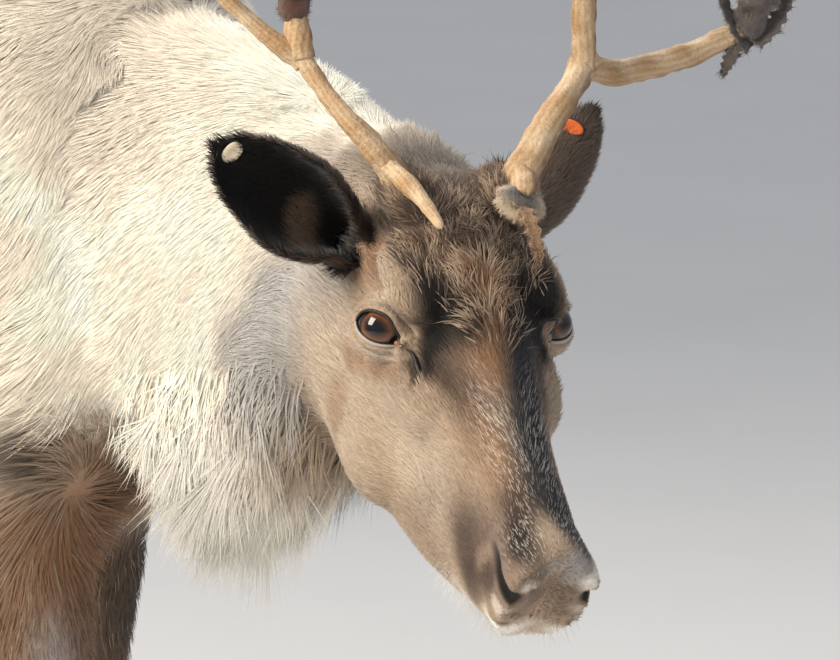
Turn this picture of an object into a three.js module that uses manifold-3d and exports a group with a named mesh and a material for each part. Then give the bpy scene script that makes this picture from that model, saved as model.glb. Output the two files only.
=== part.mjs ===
// A reindeer at life size, standing, with its head low and turned to its right.
// Millimetres, +Z up, +X towards the breast, +Y to the animal's left, soles on z = 0.
// The flesh is one smooth distance field, meshed region by region and parted with thin cuts.
import * as THREE from "three";
import { mergeVertices } from "three/addons/utils/BufferGeometryUtils.js";
import Module from "manifold-3d";

const wasm = await Module();
wasm.setup();

// Driving dimensions of the whole animal
const GAP = 0.3;
const WITHERS_HEIGHT = 962;
const BELLY_HEIGHT = 528;
const RUMP_CAP = 105;
const BREAST_CAP = 70;
const SEED = 4184;

// The trunk, from the rump to the breast
const TRUNK = {
  x: [-430, -300, -150, 0, 150, 290, 350],
  top: [900, 938, 932, 926, 936, WITHERS_HEIGHT, 945],
  bottom: [660, 590, 556, BELLY_HEIGHT, 516, 528, 572],
  half: [150, 180, 196, 200, 188, 162, 136],
  power: 2.3,
  rearCap: RUMP_CAP,
  frontCap: BREAST_CAP,
};

// The neck, a bent tube of oval section from inside the breast to behind the skull
const NECK = {
  start: [300, 0, 748],
  middle: [500, -8, 736],
  end: [664, -72, 752],
  places: [0, 0.3, 0.6, 1],
  width: [126, 112, 96, 74],
  height: [186, 172, 150, 104],
  cap: 40,
};

// The head's own frame: x along the bridge of the nose, y to its left, z out of the forehead
const HEAD = {
  place: [765, -130, 740],
  turn: -32.5,
  drop: 31.6,
  roll: -3,
};

// The skull and jaw, from the poll to the lips, in the head's frame
const SKULL = {
  x: [-118, -80, -40, 0, 40, 80, 120, 160, 188],
  top: [42, 55, 57, 50, 35, 21, 10, 1, -7],
  middle: [-30, -40, -50, -58, -70, -76, -72, -64, -56],
  bottom: [-100, -134, -152, -156, -152, -141, -124, -107, -95],
  half: [50, 57, 59, 53, 45, 39, 35, 33, 31],
  power: 2.2,
  rearCap: 38,
  frontCap: 22,
};

// Soft masses of the head: place and radii in the head's frame, both sides where y isn't 0
const HEAD_MASSES = [
  { name: "brow", place: [-12, 46, 24], radii: [32, 15, 11], seam: 24 },
  { name: "cheek", place: [-22, 36, -92], radii: [60, 22, 54], seam: 18 },
  { name: "cheek bone", place: [22, 40, -26], radii: [40, 12, 16], seam: 30 },
  { name: "pedicle", place: [-70, 34, 50], radii: [22, 18, 12], seam: 16 },
  { name: "nose", place: [190, 0, -33], radii: [35, 27, 26], seam: 10 },
  { name: "nostril wing", place: [197, 16, -39], radii: [24, 15, 18], seam: 8 },
  { name: "upper lip", place: [184, 10, -62], radii: [28, 20, 18], seam: 8 },
  { name: "chin", place: [173, 0, -83], radii: [25, 23, 13], seam: 8 },
];

// Muscles of the trunk: place and radii, on both sides
const MUSCLES = [
  { name: "shoulder", place: [322, 92, 735], radii: [84, 62, 180], seam: 60 },
  { name: "haunch", place: [-388, 90, 755], radii: [128, 80, 155], seam: 60 },
];

// Limbs: round stretches between two joints, x and z of each joint and the radius there
const FORELEG = {
  y: 92,
  stretches: [
    { from: [358, 660, 68], to: [330, 568, 54], seam: 45 },
    { from: [330, 572, 54], to: [348, 335, 30], seam: 22 },
    { from: [349, 335, 31], to: [349, 302, 29], seam: 14 },
    { from: [347, 300, 25], to: [342, 118, 21], seam: 12 },
    { from: [342, 112, 25], to: [342, 92, 26], seam: 12 },
    { from: [343, 92, 25], to: [360, 46, 34], seam: 12 },
  ],
};
const HINDLEG = {
  y: 96,
  stretches: [
    { from: [-352, 690, 92], to: [-318, 612, 66], seam: 60 },
    { from: [-322, 615, 66], to: [-452, 402, 30], seam: 34 },
    { from: [-470, 690, 56], to: [-452, 470, 26], seam: 40 },
    { from: [-484, 425, 17], to: [-462, 368, 32], seam: 14 },
    { from: [-460, 372, 31], to: [-458, 320, 26], seam: 14 },
    { from: [-458, 322, 26], to: [-448, 118, 22], seam: 12 },
    { from: [-448, 112, 26], to: [-447, 92, 27], seam: 12 },
    { from: [-446, 92, 26], to: [-428, 46, 34], seam: 12 },
  ],
};
const ELBOW_HEIGHT = 600;

// The share of a foot's step that its elbow or stifle takes
const STEP_ABOVE = 0.45;

// How far each foot stands ahead of its square place, at the ground
const LEGS = [
  { name: "foreleg_right", side: -1, limb: FORELEG, step: 30 },
  { name: "foreleg_left", side: 1, limb: FORELEG, step: -172 },
  { name: "hindleg_right", side: -1, limb: HINDLEG, step: -34 },
  { name: "hindleg_left", side: 1, limb: HINDLEG, step: 52 },
];

// Where the legs part from the trunk, and the trunk from the neck
const FORE_CUT = { low: 190, high: 500, inner: 24, top: 540 };
const HIND_CUT = { low: -640, high: -215, inner: 10, top: 585 };
const NECK_CUT = { place: [372, 0, 760], normal: [0.95, 0, 0.31] };
const POLL_CUT = { place: [-106, 0, -35], normal: [0.943, 0, 0.333] };

// Hooves
const CLAW = { length: 92, width: 40, front: 56, slope: 0.2, gap: 3.5 };
const DEWCLAW = { radius: 10, behind: 34, apart: 21, height: 56, root: [8, 0, 8], tip: [-14, 5, -22] };

// Eyes, lids, nostrils and mouth, in the head's frame, on the left side
const EYE = {
  place: [-8, 50, -5],
  out: [0.5, 0.78, 0.36],
  radius: 17,
  lid: 3,
  length: 32,
  height: 19,
  tilt: 12,
};
const NOSTRIL = {
  path: [
    [172, 31, -33],
    [186, 32, -36],
    [199, 30, -39],
    [211, 27, -41],
    [218, 21, -43],
  ],
  radii: [1.8, 3, 4, 5, 3.4],
};
const MOUTH = {
  path: [
    [150, 39, -88],
    [172, 36, -84],
    [194, 28, -74],
    [207, 14, -69],
    [211, 0, -68],
  ],
  depth: 7,
  height: 1.6,
};
const GLAND = { from: [22, 56, -6], to: [44, 50, -17], radius: 2.6 };

// Ears
const EAR = {
  length: 112,
  thickness: 3.4,
  sunk: 12,
  places: [0, 0.15, 0.42, 0.72, 0.9, 1],
  radius: [17, 22, 30, 28, 20, 7],
  curl: [150, 128, 98, 70, 48, 26],
  widestCurl: 158,
  root: [-100, 62, 0],
  plug: 17,
  notch: { from: 0.93, to: 1.1, low: -10, middle: -1.5, high: 4 },
};

// The beard: rows of locks along the neck's underside, and how each lies and ends
const BEARD = {
  from: 0.26,
  to: 0.92,
  rows: 5,
  across: 5,
  spread: 60,
  length: 134,
  sideLength: 0.66,
  width: 80,
  thickness: 8,
  sunk: 7,
  lift: 4,
  hang: 0.6,
  lie: [-0.5, 0, -0.87],
  curve: [0.9, 0, -0.3],
};

const COLOURS = {
  coat: 0xcdb99d,
  face: 0x6d5a49,
  leg: 0x8c6a4c,
  tail: 0xe6ddcc,
  ear: 0x6e665c,
  eye: 0x1c120c,
  bone: 0xd9b98c,
  velvet: 0x6b5138,
  greyVelvet: 0x4d4a47,
  hoof: 0x2b2724,
  creamTag: 0xe8e2cf,
  orangeTag: 0xd9702a,
};

// Small mathematics

function clamp(value, low, high) {
  return Math.min(Math.max(value, low), high);
}

function add(a, b, scale = 1) {
  return [a[0] + b[0] * scale, a[1] + b[1] * scale, a[2] + b[2] * scale];
}

function dot(a, b) {
  return a[0] * b[0] + a[1] * b[1] + a[2] * b[2];
}

function cross(a, b) {
  return [
    a[1] * b[2] - a[2] * b[1],
    a[2] * b[0] - a[0] * b[2],
    a[0] * b[1] - a[1] * b[0],
  ];
}

function unit(a) {
  const size = Math.hypot(...a);
  return [a[0] / size, a[1] / size, a[2] / size];
}

// A repeatable source of numbers from 0 to 1.
function seeded(seed) {
  let state = seed;
  return () => {
    state = (state * 1664525 + 1013904223) % 4294967296;
    return state / 4294967296;
  };
}

// A smooth line through values at increasing places, level at both ends.
function along(places, values, x) {
  const last = places.length - 1;
  if (x <= places[0]) return values[0];
  if (x >= places[last]) return values[last];
  let i = 0;
  while (x > places[i + 1]) i += 1;
  const slope = (j) =>
    j === 0 || j === last
      ? 0
      : (values[j + 1] - values[j - 1]) / (places[j + 1] - places[j - 1]);
  const width = places[i + 1] - places[i];
  const t = (x - places[i]) / width;
  const ease = t * t * (3 - 2 * t);
  const leave = t * (1 - t) * (1 - t) * width * slope(i);
  const arrive = t * t * (1 - t) * width * slope(i + 1);
  return values[i] * (1 - ease) + values[i + 1] * ease + leave - arrive;
}

// The distance field: below 0 inside the coat

function blend(a, b, seam) {
  const near = Math.max(seam - Math.abs(a - b), 0) / seam;
  return Math.min(a, b) - near * near * seam * 0.25;
}

function loftDistance(loft, [x, y, z]) {
  const first = loft.x[0];
  const last = loft.x[loft.x.length - 1];
  const top = along(loft.x, loft.top, x);
  const bottom = along(loft.x, loft.bottom, x);
  const half = along(loft.x, loft.half, x);
  const middle = loft.middle ? along(loft.x, loft.middle, x) : (top + bottom) / 2;
  const reach = z > middle ? top - middle : middle - bottom;
  const behind = Math.max(first - x, 0) / loft.rearCap;
  const ahead = Math.max(x - last, 0) / loft.frontCap;
  const size =
    Math.abs(y / half) ** loft.power +
    Math.abs((z - middle) / reach) ** loft.power +
    behind ** loft.power +
    ahead ** loft.power;
  return (size ** (1 / loft.power) - 1) * Math.min(half, (top - bottom) / 2);
}

function ellipsoidDistance(place, radii, point) {
  let size = 0;
  let steep = 0;
  for (let i = 0; i < 3; i += 1) {
    const u = (point[i] - place[i]) / radii[i];
    size += u * u;
    steep += (u / radii[i]) ** 2;
  }
  const far = Math.sqrt(size);
  return (far * (far - 1)) / Math.max(Math.sqrt(steep), 1e-6);
}

function stretchDistance(from, to, radiusFrom, radiusTo, point) {
  const line = add(to, from, -1);
  const offset = add(point, from, -1);
  const t = clamp(dot(offset, line) / dot(line, line), 0, 1);
  const nearest = add(from, line, t);
  return Math.hypot(...add(point, nearest, -1)) - (radiusFrom + (radiusTo - radiusFrom) * t);
}

function neckPoint(t) {
  const a = (1 - t) * (1 - t);
  const b = 2 * t * (1 - t);
  const c = t * t;
  return NECK.start.map((s, i) => s * a + NECK.middle[i] * b + NECK.end[i] * c);
}

function neckTangent(t) {
  return NECK.start.map(
    (s, i) => 2 * (1 - t) * (NECK.middle[i] - s) + 2 * t * (NECK.end[i] - NECK.middle[i]),
  );
}

// The neck's place, sideways direction and upward direction at t.
function neckFrame(t) {
  const ahead = unit(neckTangent(t));
  const side = unit(cross([0, 0, 1], ahead));
  return { place: neckPoint(t), ahead, side, up: cross(ahead, side) };
}

function neckDistance(point) {
  let t = 0.5;
  for (let step = 0; step < 6; step += 1) {
    const tangent = neckTangent(t);
    const offset = add(point, neckPoint(t), -1);
    t = clamp(t + dot(offset, tangent) / dot(tangent, tangent), 0, 1);
  }
  const frame = neckFrame(t);
  const offset = add(point, frame.place, -1);
  const width = along(NECK.places, NECK.width, t);
  const height = along(NECK.places, NECK.height, t);
  const size = Math.hypot(
    dot(offset, frame.side) / width,
    dot(offset, frame.up) / height,
    dot(offset, frame.ahead) / NECK.cap,
  );
  return (size - 1) * Math.min(width, height);
}

// The head's frame as a matrix, and points taken into and out of it
const headMatrix = new THREE.Matrix4()
  .makeRotationFromEuler(
    new THREE.Euler(
      THREE.MathUtils.degToRad(HEAD.roll),
      THREE.MathUtils.degToRad(HEAD.drop),
      THREE.MathUtils.degToRad(HEAD.turn),
      "ZYX",
    ),
  )
  .setPosition(...HEAD.place);
const headInverse = headMatrix.clone().invert();

function moved(matrix, point) {
  return new THREE.Vector3(...point).applyMatrix4(matrix).toArray();
}

function headDistance(point) {
  const folded = [point[0], Math.abs(point[1]), point[2]];
  let distance = loftDistance(SKULL, point);
  for (const mass of HEAD_MASSES) {
    distance = blend(distance, ellipsoidDistance(mass.place, mass.radii, folded), mass.seam);
  }
  return distance;
}

// The joints of one leg, moved ahead by its step towards the ground.
function joint(leg, [x, z, radius]) {
  const share = 1 - ((1 - STEP_ABOVE) * z) / ELBOW_HEIGHT;
  const place = [x + leg.step * share, leg.side * leg.limb.y, z];
  return { place, radius };
}

function bodyDistance(point) {
  let distance = blend(loftDistance(TRUNK, point), neckDistance(point), 70);
  const folded = [point[0], Math.abs(point[1]), point[2]];
  for (const muscle of MUSCLES) {
    distance = blend(distance, ellipsoidDistance(muscle.place, muscle.radii, folded), muscle.seam);
  }
  for (const leg of LEGS) {
    if (leg.side * point[1] < -20) continue;
    for (const stretch of leg.limb.stretches) {
      const from = joint(leg, stretch.from);
      const to = joint(leg, stretch.to);
      const bone = stretchDistance(from.place, to.place, from.radius, to.radius, point);
      distance = blend(distance, bone, stretch.seam);
    }
  }
  return blend(distance, headDistance(moved(headInverse, point)), 26);
}

function slopeOf(field, point) {
  const step = 0.5;
  const here = field(point);
  return [0, 1, 2].map((i) => {
    const beside = [...point];
    beside[i] += step;
    return (field(beside) - here) / step;
  });
}

// Moves a point onto the surface of a field.
function settled(field, point, rounds = 4) {
  let place = point;
  for (let round = 0; round < rounds; round += 1) {
    const slope = slopeOf(field, place);
    place = add(place, slope, -field(place) / Math.max(dot(slope, slope), 0.05));
  }
  return place;
}

// Meshing and solids

// Grid lines over joined spans, each span with its own spacing.
function gridLines(...spans) {
  const lines = [];
  for (const [from, to, spacing] of spans) {
    const count = Math.max(1, Math.round((to - from) / spacing));
    for (let i = 0; i < count; i += 1) lines.push(from + ((to - from) * i) / count);
  }
  lines.push(spans[spans.length - 1][1]);
  return lines;
}

// A closed mesh of the field's surface inside a box of grid lines, one vertex to a cell.
function fieldGeometry(field, xs, ys, zs) {
  const [nx, ny, nz] = [xs.length, ys.length, zs.length];
  const index = (i, j, k) => (i * ny + j) * nz + k;
  const values = new Float64Array(nx * ny * nz);
  for (let i = 0; i < nx; i += 1) {
    for (let j = 0; j < ny; j += 1) {
      for (let k = 0; k < nz; k += 1) {
        const rim = i === 0 || j === 0 || k === 0 || i === nx - 1 || j === ny - 1 || k === nz - 1;
        const value = field([xs[i], ys[j], zs[k]]);
        values[index(i, j, k)] = rim ? Math.max(value, 1) : value;
      }
    }
  }
  const positions = [];
  const cells = new Int32Array(nx * ny * nz).fill(-1);
  const corners = [0, 1, 2, 3, 4, 5, 6, 7].map((c) => [c & 1, (c >> 1) & 1, (c >> 2) & 1]);
  const edges = [];
  for (let a = 0; a < 8; a += 1) {
    for (const bit of [1, 2, 4]) if (!(a & bit)) edges.push([a, a | bit]);
  }
  for (let i = 0; i < nx - 1; i += 1) {
    for (let j = 0; j < ny - 1; j += 1) {
      for (let k = 0; k < nz - 1; k += 1) {
        const at = corners.map(([a, b, c]) => [xs[i + a], ys[j + b], zs[k + c]]);
        const held = corners.map(([a, b, c]) => values[index(i + a, j + b, k + c)]);
        let sum = [0, 0, 0];
        let count = 0;
        for (const [a, b] of edges) {
          if (held[a] < 0 === held[b] < 0) continue;
          const t = held[a] / (held[a] - held[b]);
          sum = add(sum, add(add([0, 0, 0], at[a], 1 - t), at[b], t));
          count += 1;
        }
        if (!count) continue;
        const middle = sum.map((s) => s / count);
        const spacing = xs[i + 1] - xs[i];
        const near = Math.abs(field(middle)) < spacing * 0.7;
        cells[index(i, j, k)] = positions.length / 3;
        positions.push(...(near ? settled(field, middle) : middle));
      }
    }
  }
  const triangles = [];
  const corner = (v) => positions.slice(v * 3, v * 3 + 3);
  const quad = (a, b, c, d, turned) => {
    const ring = turned ? [a, d, c, b] : [a, b, c, d];
    const one = Math.hypot(...add(corner(ring[0]), corner(ring[2]), -1));
    const two = Math.hypot(...add(corner(ring[1]), corner(ring[3]), -1));
    if (one <= two) triangles.push(ring[0], ring[1], ring[2], ring[0], ring[2], ring[3]);
    else triangles.push(ring[1], ring[2], ring[3], ring[1], ring[3], ring[0]);
  };
  for (let i = 0; i < nx - 1; i += 1) {
    for (let j = 0; j < ny - 1; j += 1) {
      for (let k = 0; k < nz - 1; k += 1) {
        const here = values[index(i, j, k)] < 0;
        const cell = (a, b, c) => cells[index(i - a, j - b, k - c)];
        if (j && k && here !== values[index(i + 1, j, k)] < 0) {
          quad(cell(0, 0, 0), cell(0, 1, 0), cell(0, 1, 1), cell(0, 0, 1), !here);
        }
        if (i && k && here !== values[index(i, j + 1, k)] < 0) {
          quad(cell(0, 0, 0), cell(0, 0, 1), cell(1, 0, 1), cell(1, 0, 0), !here);
        }
        if (i && j && here !== values[index(i, j, k + 1)] < 0) {
          quad(cell(0, 0, 0), cell(1, 0, 0), cell(1, 1, 0), cell(0, 1, 0), !here);
        }
      }
    }
  }
  return indexedGeometry(positions, triangles);
}

// A closed geometry as a solid that faces out.
function solidOf(geometry) {
  const bare = geometry.clone();
  for (const name of Object.keys(bare.attributes)) {
    if (name !== "position") bare.deleteAttribute(name);
  }
  const merged = mergeVertices(bare, 1e-3);
  const vertProperties = merged.attributes.position.array;
  const triVerts = new Uint32Array(merged.index.array);
  const solid = new wasm.Manifold(new wasm.Mesh({ numProp: 3, vertProperties, triVerts }));
  if (solid.volume() > 0) return solid;
  const turned = triVerts.map((_, i) => triVerts[i - (i % 3) + 2 - (i % 3)]);
  return new wasm.Manifold(new wasm.Mesh({ numProp: 3, vertProperties, triVerts: turned }));
}

// Only the largest closed surface of a solid.
function largest(solid) {
  return solid.decompose().reduce((a, b) => (b.volume() > a.volume() ? b : a));
}

function geometryOf(solid) {
  const mesh = solid.getMesh();
  const geometry = new THREE.BufferGeometry();
  geometry.setAttribute("position", new THREE.BufferAttribute(mesh.vertProperties, 3));
  geometry.setIndex(new THREE.BufferAttribute(mesh.triVerts, 1));
  geometry.computeVertexNormals();
  return geometry;
}

function boxSolid(low, high) {
  const size = add(high, low, -1);
  const geometry = new THREE.BoxGeometry(...size);
  geometry.translate(...add(low, size, 0.5));
  return solidOf(geometry);
}

// A very large block whose one face lies on a plane, on the side that the normal points to.
function halfSpace(place, normal, back = 0) {
  const size = 4000;
  const geometry = new THREE.BoxGeometry(size, size, size);
  const direction = new THREE.Vector3(...unit(normal));
  geometry.applyQuaternion(
    new THREE.Quaternion().setFromUnitVectors(new THREE.Vector3(1, 0, 0), direction),
  );
  geometry.translate(...add(place, direction.toArray(), size / 2 - back));
  return solidOf(geometry);
}

// A closed tube of oval section along a smooth path, from a first ring to a last ring.
function sweep({ path, width, depth, up, sides = 6, steps = 8, first = 0, last, grow = 0, trim = 0 }) {
  const curve = new THREE.CatmullRomCurve3(path.map((p) => new THREE.Vector3(...p)));
  const end = last ?? steps;
  const places = width.map((_, i) => i / (width.length - 1));
  const rings = [];
  let normal = up ?? [0.13, 0.21, 1];
  for (let ring = 0; ring <= steps; ring += 1) {
    const t = ring / steps;
    const ahead = curve.getTangentAt(t).toArray();
    const side = unit(cross(normal, ahead));
    normal = cross(ahead, side);
    if (ring < first || ring > end) continue;
    let centre = curve.getPointAt(t).toArray();
    if (ring === first) centre = add(centre, ahead, trim - grow);
    if (ring === end && end < steps) centre = add(centre, ahead, -trim + grow);
    const wide = along(places, width, t) + grow;
    const deep = along(places, depth ?? width, t) + grow;
    const points = [];
    for (let s = 0; s < sides; s += 1) {
      const angle = (2 * Math.PI * s) / sides;
      const across = add(centre, side, wide * Math.cos(angle));
      points.push(add(across, normal, deep * Math.sin(angle)));
    }
    rings.push({ centre, points });
  }
  return ringsGeometry(rings);
}

// The triangles between rings of equal count that follow each other.
function ringTriangles(rings) {
  const sides = rings[0].points.length;
  const triangles = [];
  for (let r = 0; r < rings.length - 1; r += 1) {
    for (let s = 0; s < sides; s += 1) {
      const a = r * sides + s;
      const b = r * sides + ((s + 1) % sides);
      triangles.push(a, b, b + sides, a, b + sides, a + sides);
    }
  }
  return triangles;
}

function indexedGeometry(positions, triangles) {
  const geometry = new THREE.BufferGeometry();
  geometry.setAttribute("position", new THREE.Float32BufferAttribute(positions, 3));
  geometry.setIndex(triangles);
  return geometry;
}

// Joins rings into one closed geometry with a fan at each end.
function ringsGeometry(rings) {
  const sides = rings[0].points.length;
  const positions = rings.flatMap((ring) => ring.points.flat());
  const start = positions.length / 3;
  positions.push(...rings[0].centre, ...rings[rings.length - 1].centre);
  const triangles = ringTriangles(rings);
  const top = (rings.length - 1) * sides;
  for (let s = 0; s < sides; s += 1) {
    const next = (s + 1) % sides;
    triangles.push(start, next, s, start + 1, top + s, top + next);
  }
  return indexedGeometry(positions, triangles);
}

// Joins the flat rings of a curled wall, each end closed by a strip across the wall.
function wallGeometry(rings) {
  const sides = rings[0].points.length;
  const triangles = ringTriangles(rings);
  const top = (rings.length - 1) * sides;
  for (let s = 0; s < sides / 2 - 1; s += 1) {
    const far = sides - 1 - s;
    triangles.push(s, far, far - 1, s, far - 1, s + 1);
    triangles.push(top + s, top + far - 1, top + far, top + s, top + s + 1, top + far - 1);
  }
  return indexedGeometry(rings.flatMap((ring) => ring.points.flat()), triangles);
}

// A matrix that sets a frame's axes along three directions at a place.
function basisAt(place, ...directions) {
  const axes = directions.map((direction) => new THREE.Vector3(...direction));
  return new THREE.Matrix4().makeBasis(...axes).setPosition(...place);
}

function inHead(geometry) {
  return geometry.applyMatrix4(headMatrix);
}

// The other side's copy, mirrored across the plane y = 0 of the frame that it is made in.
function sided(point, side) {
  return [point[0], point[1] * side, point[2]];
}

// Nodes

const nodes = new Map();

function addNode(name, solid, colour, roughness = 0.9) {
  const material = new THREE.MeshStandardMaterial({ color: colour, roughness, metalness: 0 });
  const mesh = new THREE.Mesh(geometryOf(largest(solid)), material);
  mesh.name = name;
  nodes.set(name, mesh);
}

// Torso, from which the legs, the neck and the root of the tail are cut

function legBox(cut, side, grow) {
  const inner = side * (cut.inner - grow);
  const outer = side * 400;
  return boxSolid(
    [cut.low - grow, Math.min(inner, outer), -200],
    [cut.high + grow, Math.max(inner, outer), cut.top + grow],
  );
}

const TAIL = {
  path: [
    [-498, 0, 872],
    [-538, 0, 858],
    [-566, 0, 812],
    [-572, 0, 742],
  ],
  width: [26, 30, 34, 6],
  depth: [16, 19, 20, 5],
};

function buildTorso() {
  const geometry = fieldGeometry(
    bodyDistance,
    gridLines([-560, -400, 38], [-400, 240, 60], [240, 520, 44]),
    gridLines([-240, 240, 43]),
    gridLines([440, 1010, 44]),
  );
  let torso = solidOf(geometry);
  for (const side of [-1, 1]) {
    torso = torso.subtract(legBox(FORE_CUT, side, GAP));
    torso = torso.subtract(legBox(HIND_CUT, side, GAP));
  }
  torso = torso.subtract(halfSpace(NECK_CUT.place, NECK_CUT.normal, GAP / 2));
  torso = torso.subtract(solidOf(sweep({ ...TAIL, sides: 8, steps: 7, grow: GAP })));
  addNode("torso", torso, COLOURS.coat);
}

function buildTail() {
  addNode("tail", solidOf(sweep({ ...TAIL, sides: 8, steps: 7 })), COLOURS.tail);
}

// Legs with their claws and dewclaws

// The plane on which a foot ends and its claws begin.
function coronet(leg) {
  const foot = joint(leg, leg.limb.stretches[leg.limb.stretches.length - 1].to);
  return { x: foot.place[0], y: foot.place[1], slope: CLAW.slope, height: CLAW.front - 8 };
}

function clawGeometry(leg, half) {
  const { x, y, slope, height } = coronet(leg);
  const sides = 12;
  const rings = [
    { rise: 0, length: 1, width: 1, shift: 8 },
    { rise: 0.45, length: 0.92, width: 0.95, shift: 3 },
    { rise: 1, length: 0.72, width: 0.82, shift: -5 },
  ].map((level) => {
    const points = [];
    for (let s = 0; s < sides; s += 1) {
      const angle = (2 * Math.PI * s) / sides;
      const ahead = (Math.cos(angle) * CLAW.length * level.length) / 2 + level.shift;
      const out = Math.sin(angle) > 0 ? 1 : 0.45;
      const across = (Math.sin(angle) * out * CLAW.width * level.width) / 1.45;
      const centre = CLAW.gap + (CLAW.width * 0.45) / 1.45;
      const top = height - GAP + slope * ahead;
      points.push([x + ahead, y + half * (centre + across), top * level.rise]);
    }
    const centre = [0, 1, 2].map((i) => points.reduce((a, p) => a + p[i], 0) / sides);
    return { centre, points };
  });
  return ringsGeometry(rings);
}

function dewclawGeometry(leg, half, grow) {
  const { x, y } = coronet(leg);
  const { radius, behind, apart, height } = DEWCLAW;
  const place = [x - behind, y + half * apart, height];
  const root = add(place, sided(DEWCLAW.root, half));
  const tip = add(place, sided(DEWCLAW.tip, half));
  const middle = add(add(root, tip).map((v) => v / 2), [-3, half * 2, 2]);
  return sweep({
    path: [root, middle, tip],
    width: [radius * 0.8, radius, radius * 0.4],
    depth: [radius * 0.7, radius * 0.8, radius * 0.35],
    sides: 5,
    steps: 3,
    grow,
  });
}

function buildLeg(leg) {
  const fore = leg.limb === FORELEG;
  const cut = fore ? FORE_CUT : HIND_CUT;
  const { x, y, slope, height } = coronet(leg);
  const ground = leg.limb.stretches.map((s) => joint(leg, s.to).place[0]);
  const low = Math.min(...ground) - 90;
  const high = Math.max(...ground) + 90;
  const zs = fore
    ? gridLines([20, 150, 22], [150, 280, 60], [280, 350, 25], [350, 580, 50])
    : gridLines([20, 150, 22], [150, 340, 60], [340, 440, 27], [440, 620, 46]);
  const xs = fore
    ? gridLines([Math.min(low, cut.low - 20), cut.high + 20, 17])
    : gridLines([-650, -200, 20]);
  const inner = leg.side * 2;
  const outer = leg.side * 200;
  const ys = gridLines([Math.min(inner, outer), Math.max(inner, outer), 17]);
  let solid = solidOf(fieldGeometry(bodyDistance, xs, ys, zs));
  solid = solid.intersect(legBox(cut, leg.side, 0));
  solid = solid.intersect(halfSpace([x, y, height], [-slope, 0, 1], 0));
  for (const half of [-1, 1]) {
    solid = solid.subtract(solidOf(dewclawGeometry(leg, half, GAP)));
    const side = half * leg.side > 0 ? "outer" : "inner";
    addNode(`claw_${leg.name}_${side}`, solidOf(clawGeometry(leg, half)), COLOURS.hoof, 0.5);
    const dewclaw = solidOf(dewclawGeometry(leg, half, 0));
    addNode(`dewclaw_${leg.name}_${side}`, dewclaw, COLOURS.hoof, 0.5);
  }
  addNode(leg.name, solid, COLOURS.leg);
}

// Ears: thin cups of curled section

// How far an ear's wall curls to each side: a tighter roll is narrower.
function earCurl(ear, s) {
  const curl = along(EAR.places, EAR.curl, s) * ear.roll;
  return THREE.MathUtils.degToRad(Math.min(curl, EAR.widestCurl));
}

// A point of an ear in its own frame: along it, across it and out of its opening.
function earPoint(ear, s, across, layer, spare = 0) {
  const radius = along(EAR.places, EAR.radius, s) / ear.roll;
  const curl = earCurl(ear, s);
  const angle = across * (curl + (2 * spare) / radius);
  const reach = radius + layer;
  return [s * EAR.length, reach * Math.sin(angle), radius - reach * Math.cos(angle)];
}

function earGeometry(ear, grow) {
  const steps = 7;
  const count = 8;
  const half = EAR.thickness / 2 + grow;
  const rings = [];
  for (let step = -1; step <= steps; step += 1) {
    const s = step < 0 ? -(EAR.sunk + grow) / EAR.length : step / steps;
    const outer = [];
    const inner = [];
    for (let c = 0; c < count; c += 1) {
      const across = (2 * c) / (count - 1) - 1;
      outer.push(earPoint(ear, s, across, half, grow));
      inner.push(earPoint(ear, s, across, -half, grow));
    }
    rings.push({ points: [...outer, ...inner.reverse()] });
  }
  return wallGeometry(rings);
}

// Places an ear: root, the way that it points and the way that its cup opens.
function earMatrix(root, direction, opening) {
  const ahead = unit(direction);
  const out = unit(add(opening, ahead, -dot(opening, ahead)));
  const side = cross(out, ahead);
  return basisAt(root, ahead, side, out);
}

const EARS = [
  {
    name: "ear_right",
    side: -1,
    roll: 1,
    matrix: earMatrix(sided(EAR.root, -1), [-0.1, -0.83, 0.55], [0.75, -0.1, 0.3]),
    colour: COLOURS.ear,
  },
  {
    name: "ear_left",
    side: 1,
    roll: 1.35,
    matrix: earMatrix(sided(EAR.root, 1), [-0.7, 0.651, 0.293], [-0.38, 0, -0.925]),
    colour: COLOURS.ear,
  },
];

function earSolid(ear, grow) {
  const plug = new THREE.IcosahedronGeometry(EAR.plug + grow, 0);
  plug.translate(-EAR.sunk, 0, EAR.plug);
  const cup = solidOf(earGeometry(ear, grow).applyMatrix4(ear.matrix).applyMatrix4(headMatrix));
  return cup.add(solidOf(plug.applyMatrix4(ear.matrix).applyMatrix4(headMatrix)));
}

// A tag through the ear: two plates on a stem, turned about the stem's axis
const TAGS = [
  { name: "ear_tag_right", ear: 0, along: 0.88, across: -0.1, plate: 6, stretch: 1.35 },
  { name: "ear_tag_left", ear: 1, along: 0.79, across: -0.15, plate: 5.5, stretch: 1.5 },
];
const TAG = { stem: 1.6, plate: 1.6 };

function tagSolid(tag, grow) {
  const half = EAR.thickness / 2 + GAP;
  const stem = TAG.stem + grow;
  const plate = tag.plate + grow;
  const outer = half + TAG.plate + grow;
  const profile = [
    [0, -outer],
    [plate, -outer],
    [plate, -half + grow],
    [stem, -half + grow],
    [stem, half - grow],
    [plate, half - grow],
    [plate, outer],
    [0, outer],
  ].map(([r, h]) => new THREE.Vector2(r, h));
  const geometry = new THREE.LatheGeometry(profile, 10);
  geometry.scale(1, 1, tag.stretch);
  const ear = EARS[tag.ear];
  const place = earPoint(ear, tag.along, tag.across, 0);
  const angle = earCurl(ear, tag.along) * tag.across;
  const out = new THREE.Vector3(0, -Math.sin(angle), Math.cos(angle));
  geometry.applyQuaternion(
    new THREE.Quaternion().setFromUnitVectors(new THREE.Vector3(0, 1, 0), out),
  );
  geometry.translate(...place);
  return solidOf(geometry.applyMatrix4(ear.matrix).applyMatrix4(headMatrix));
}

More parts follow.
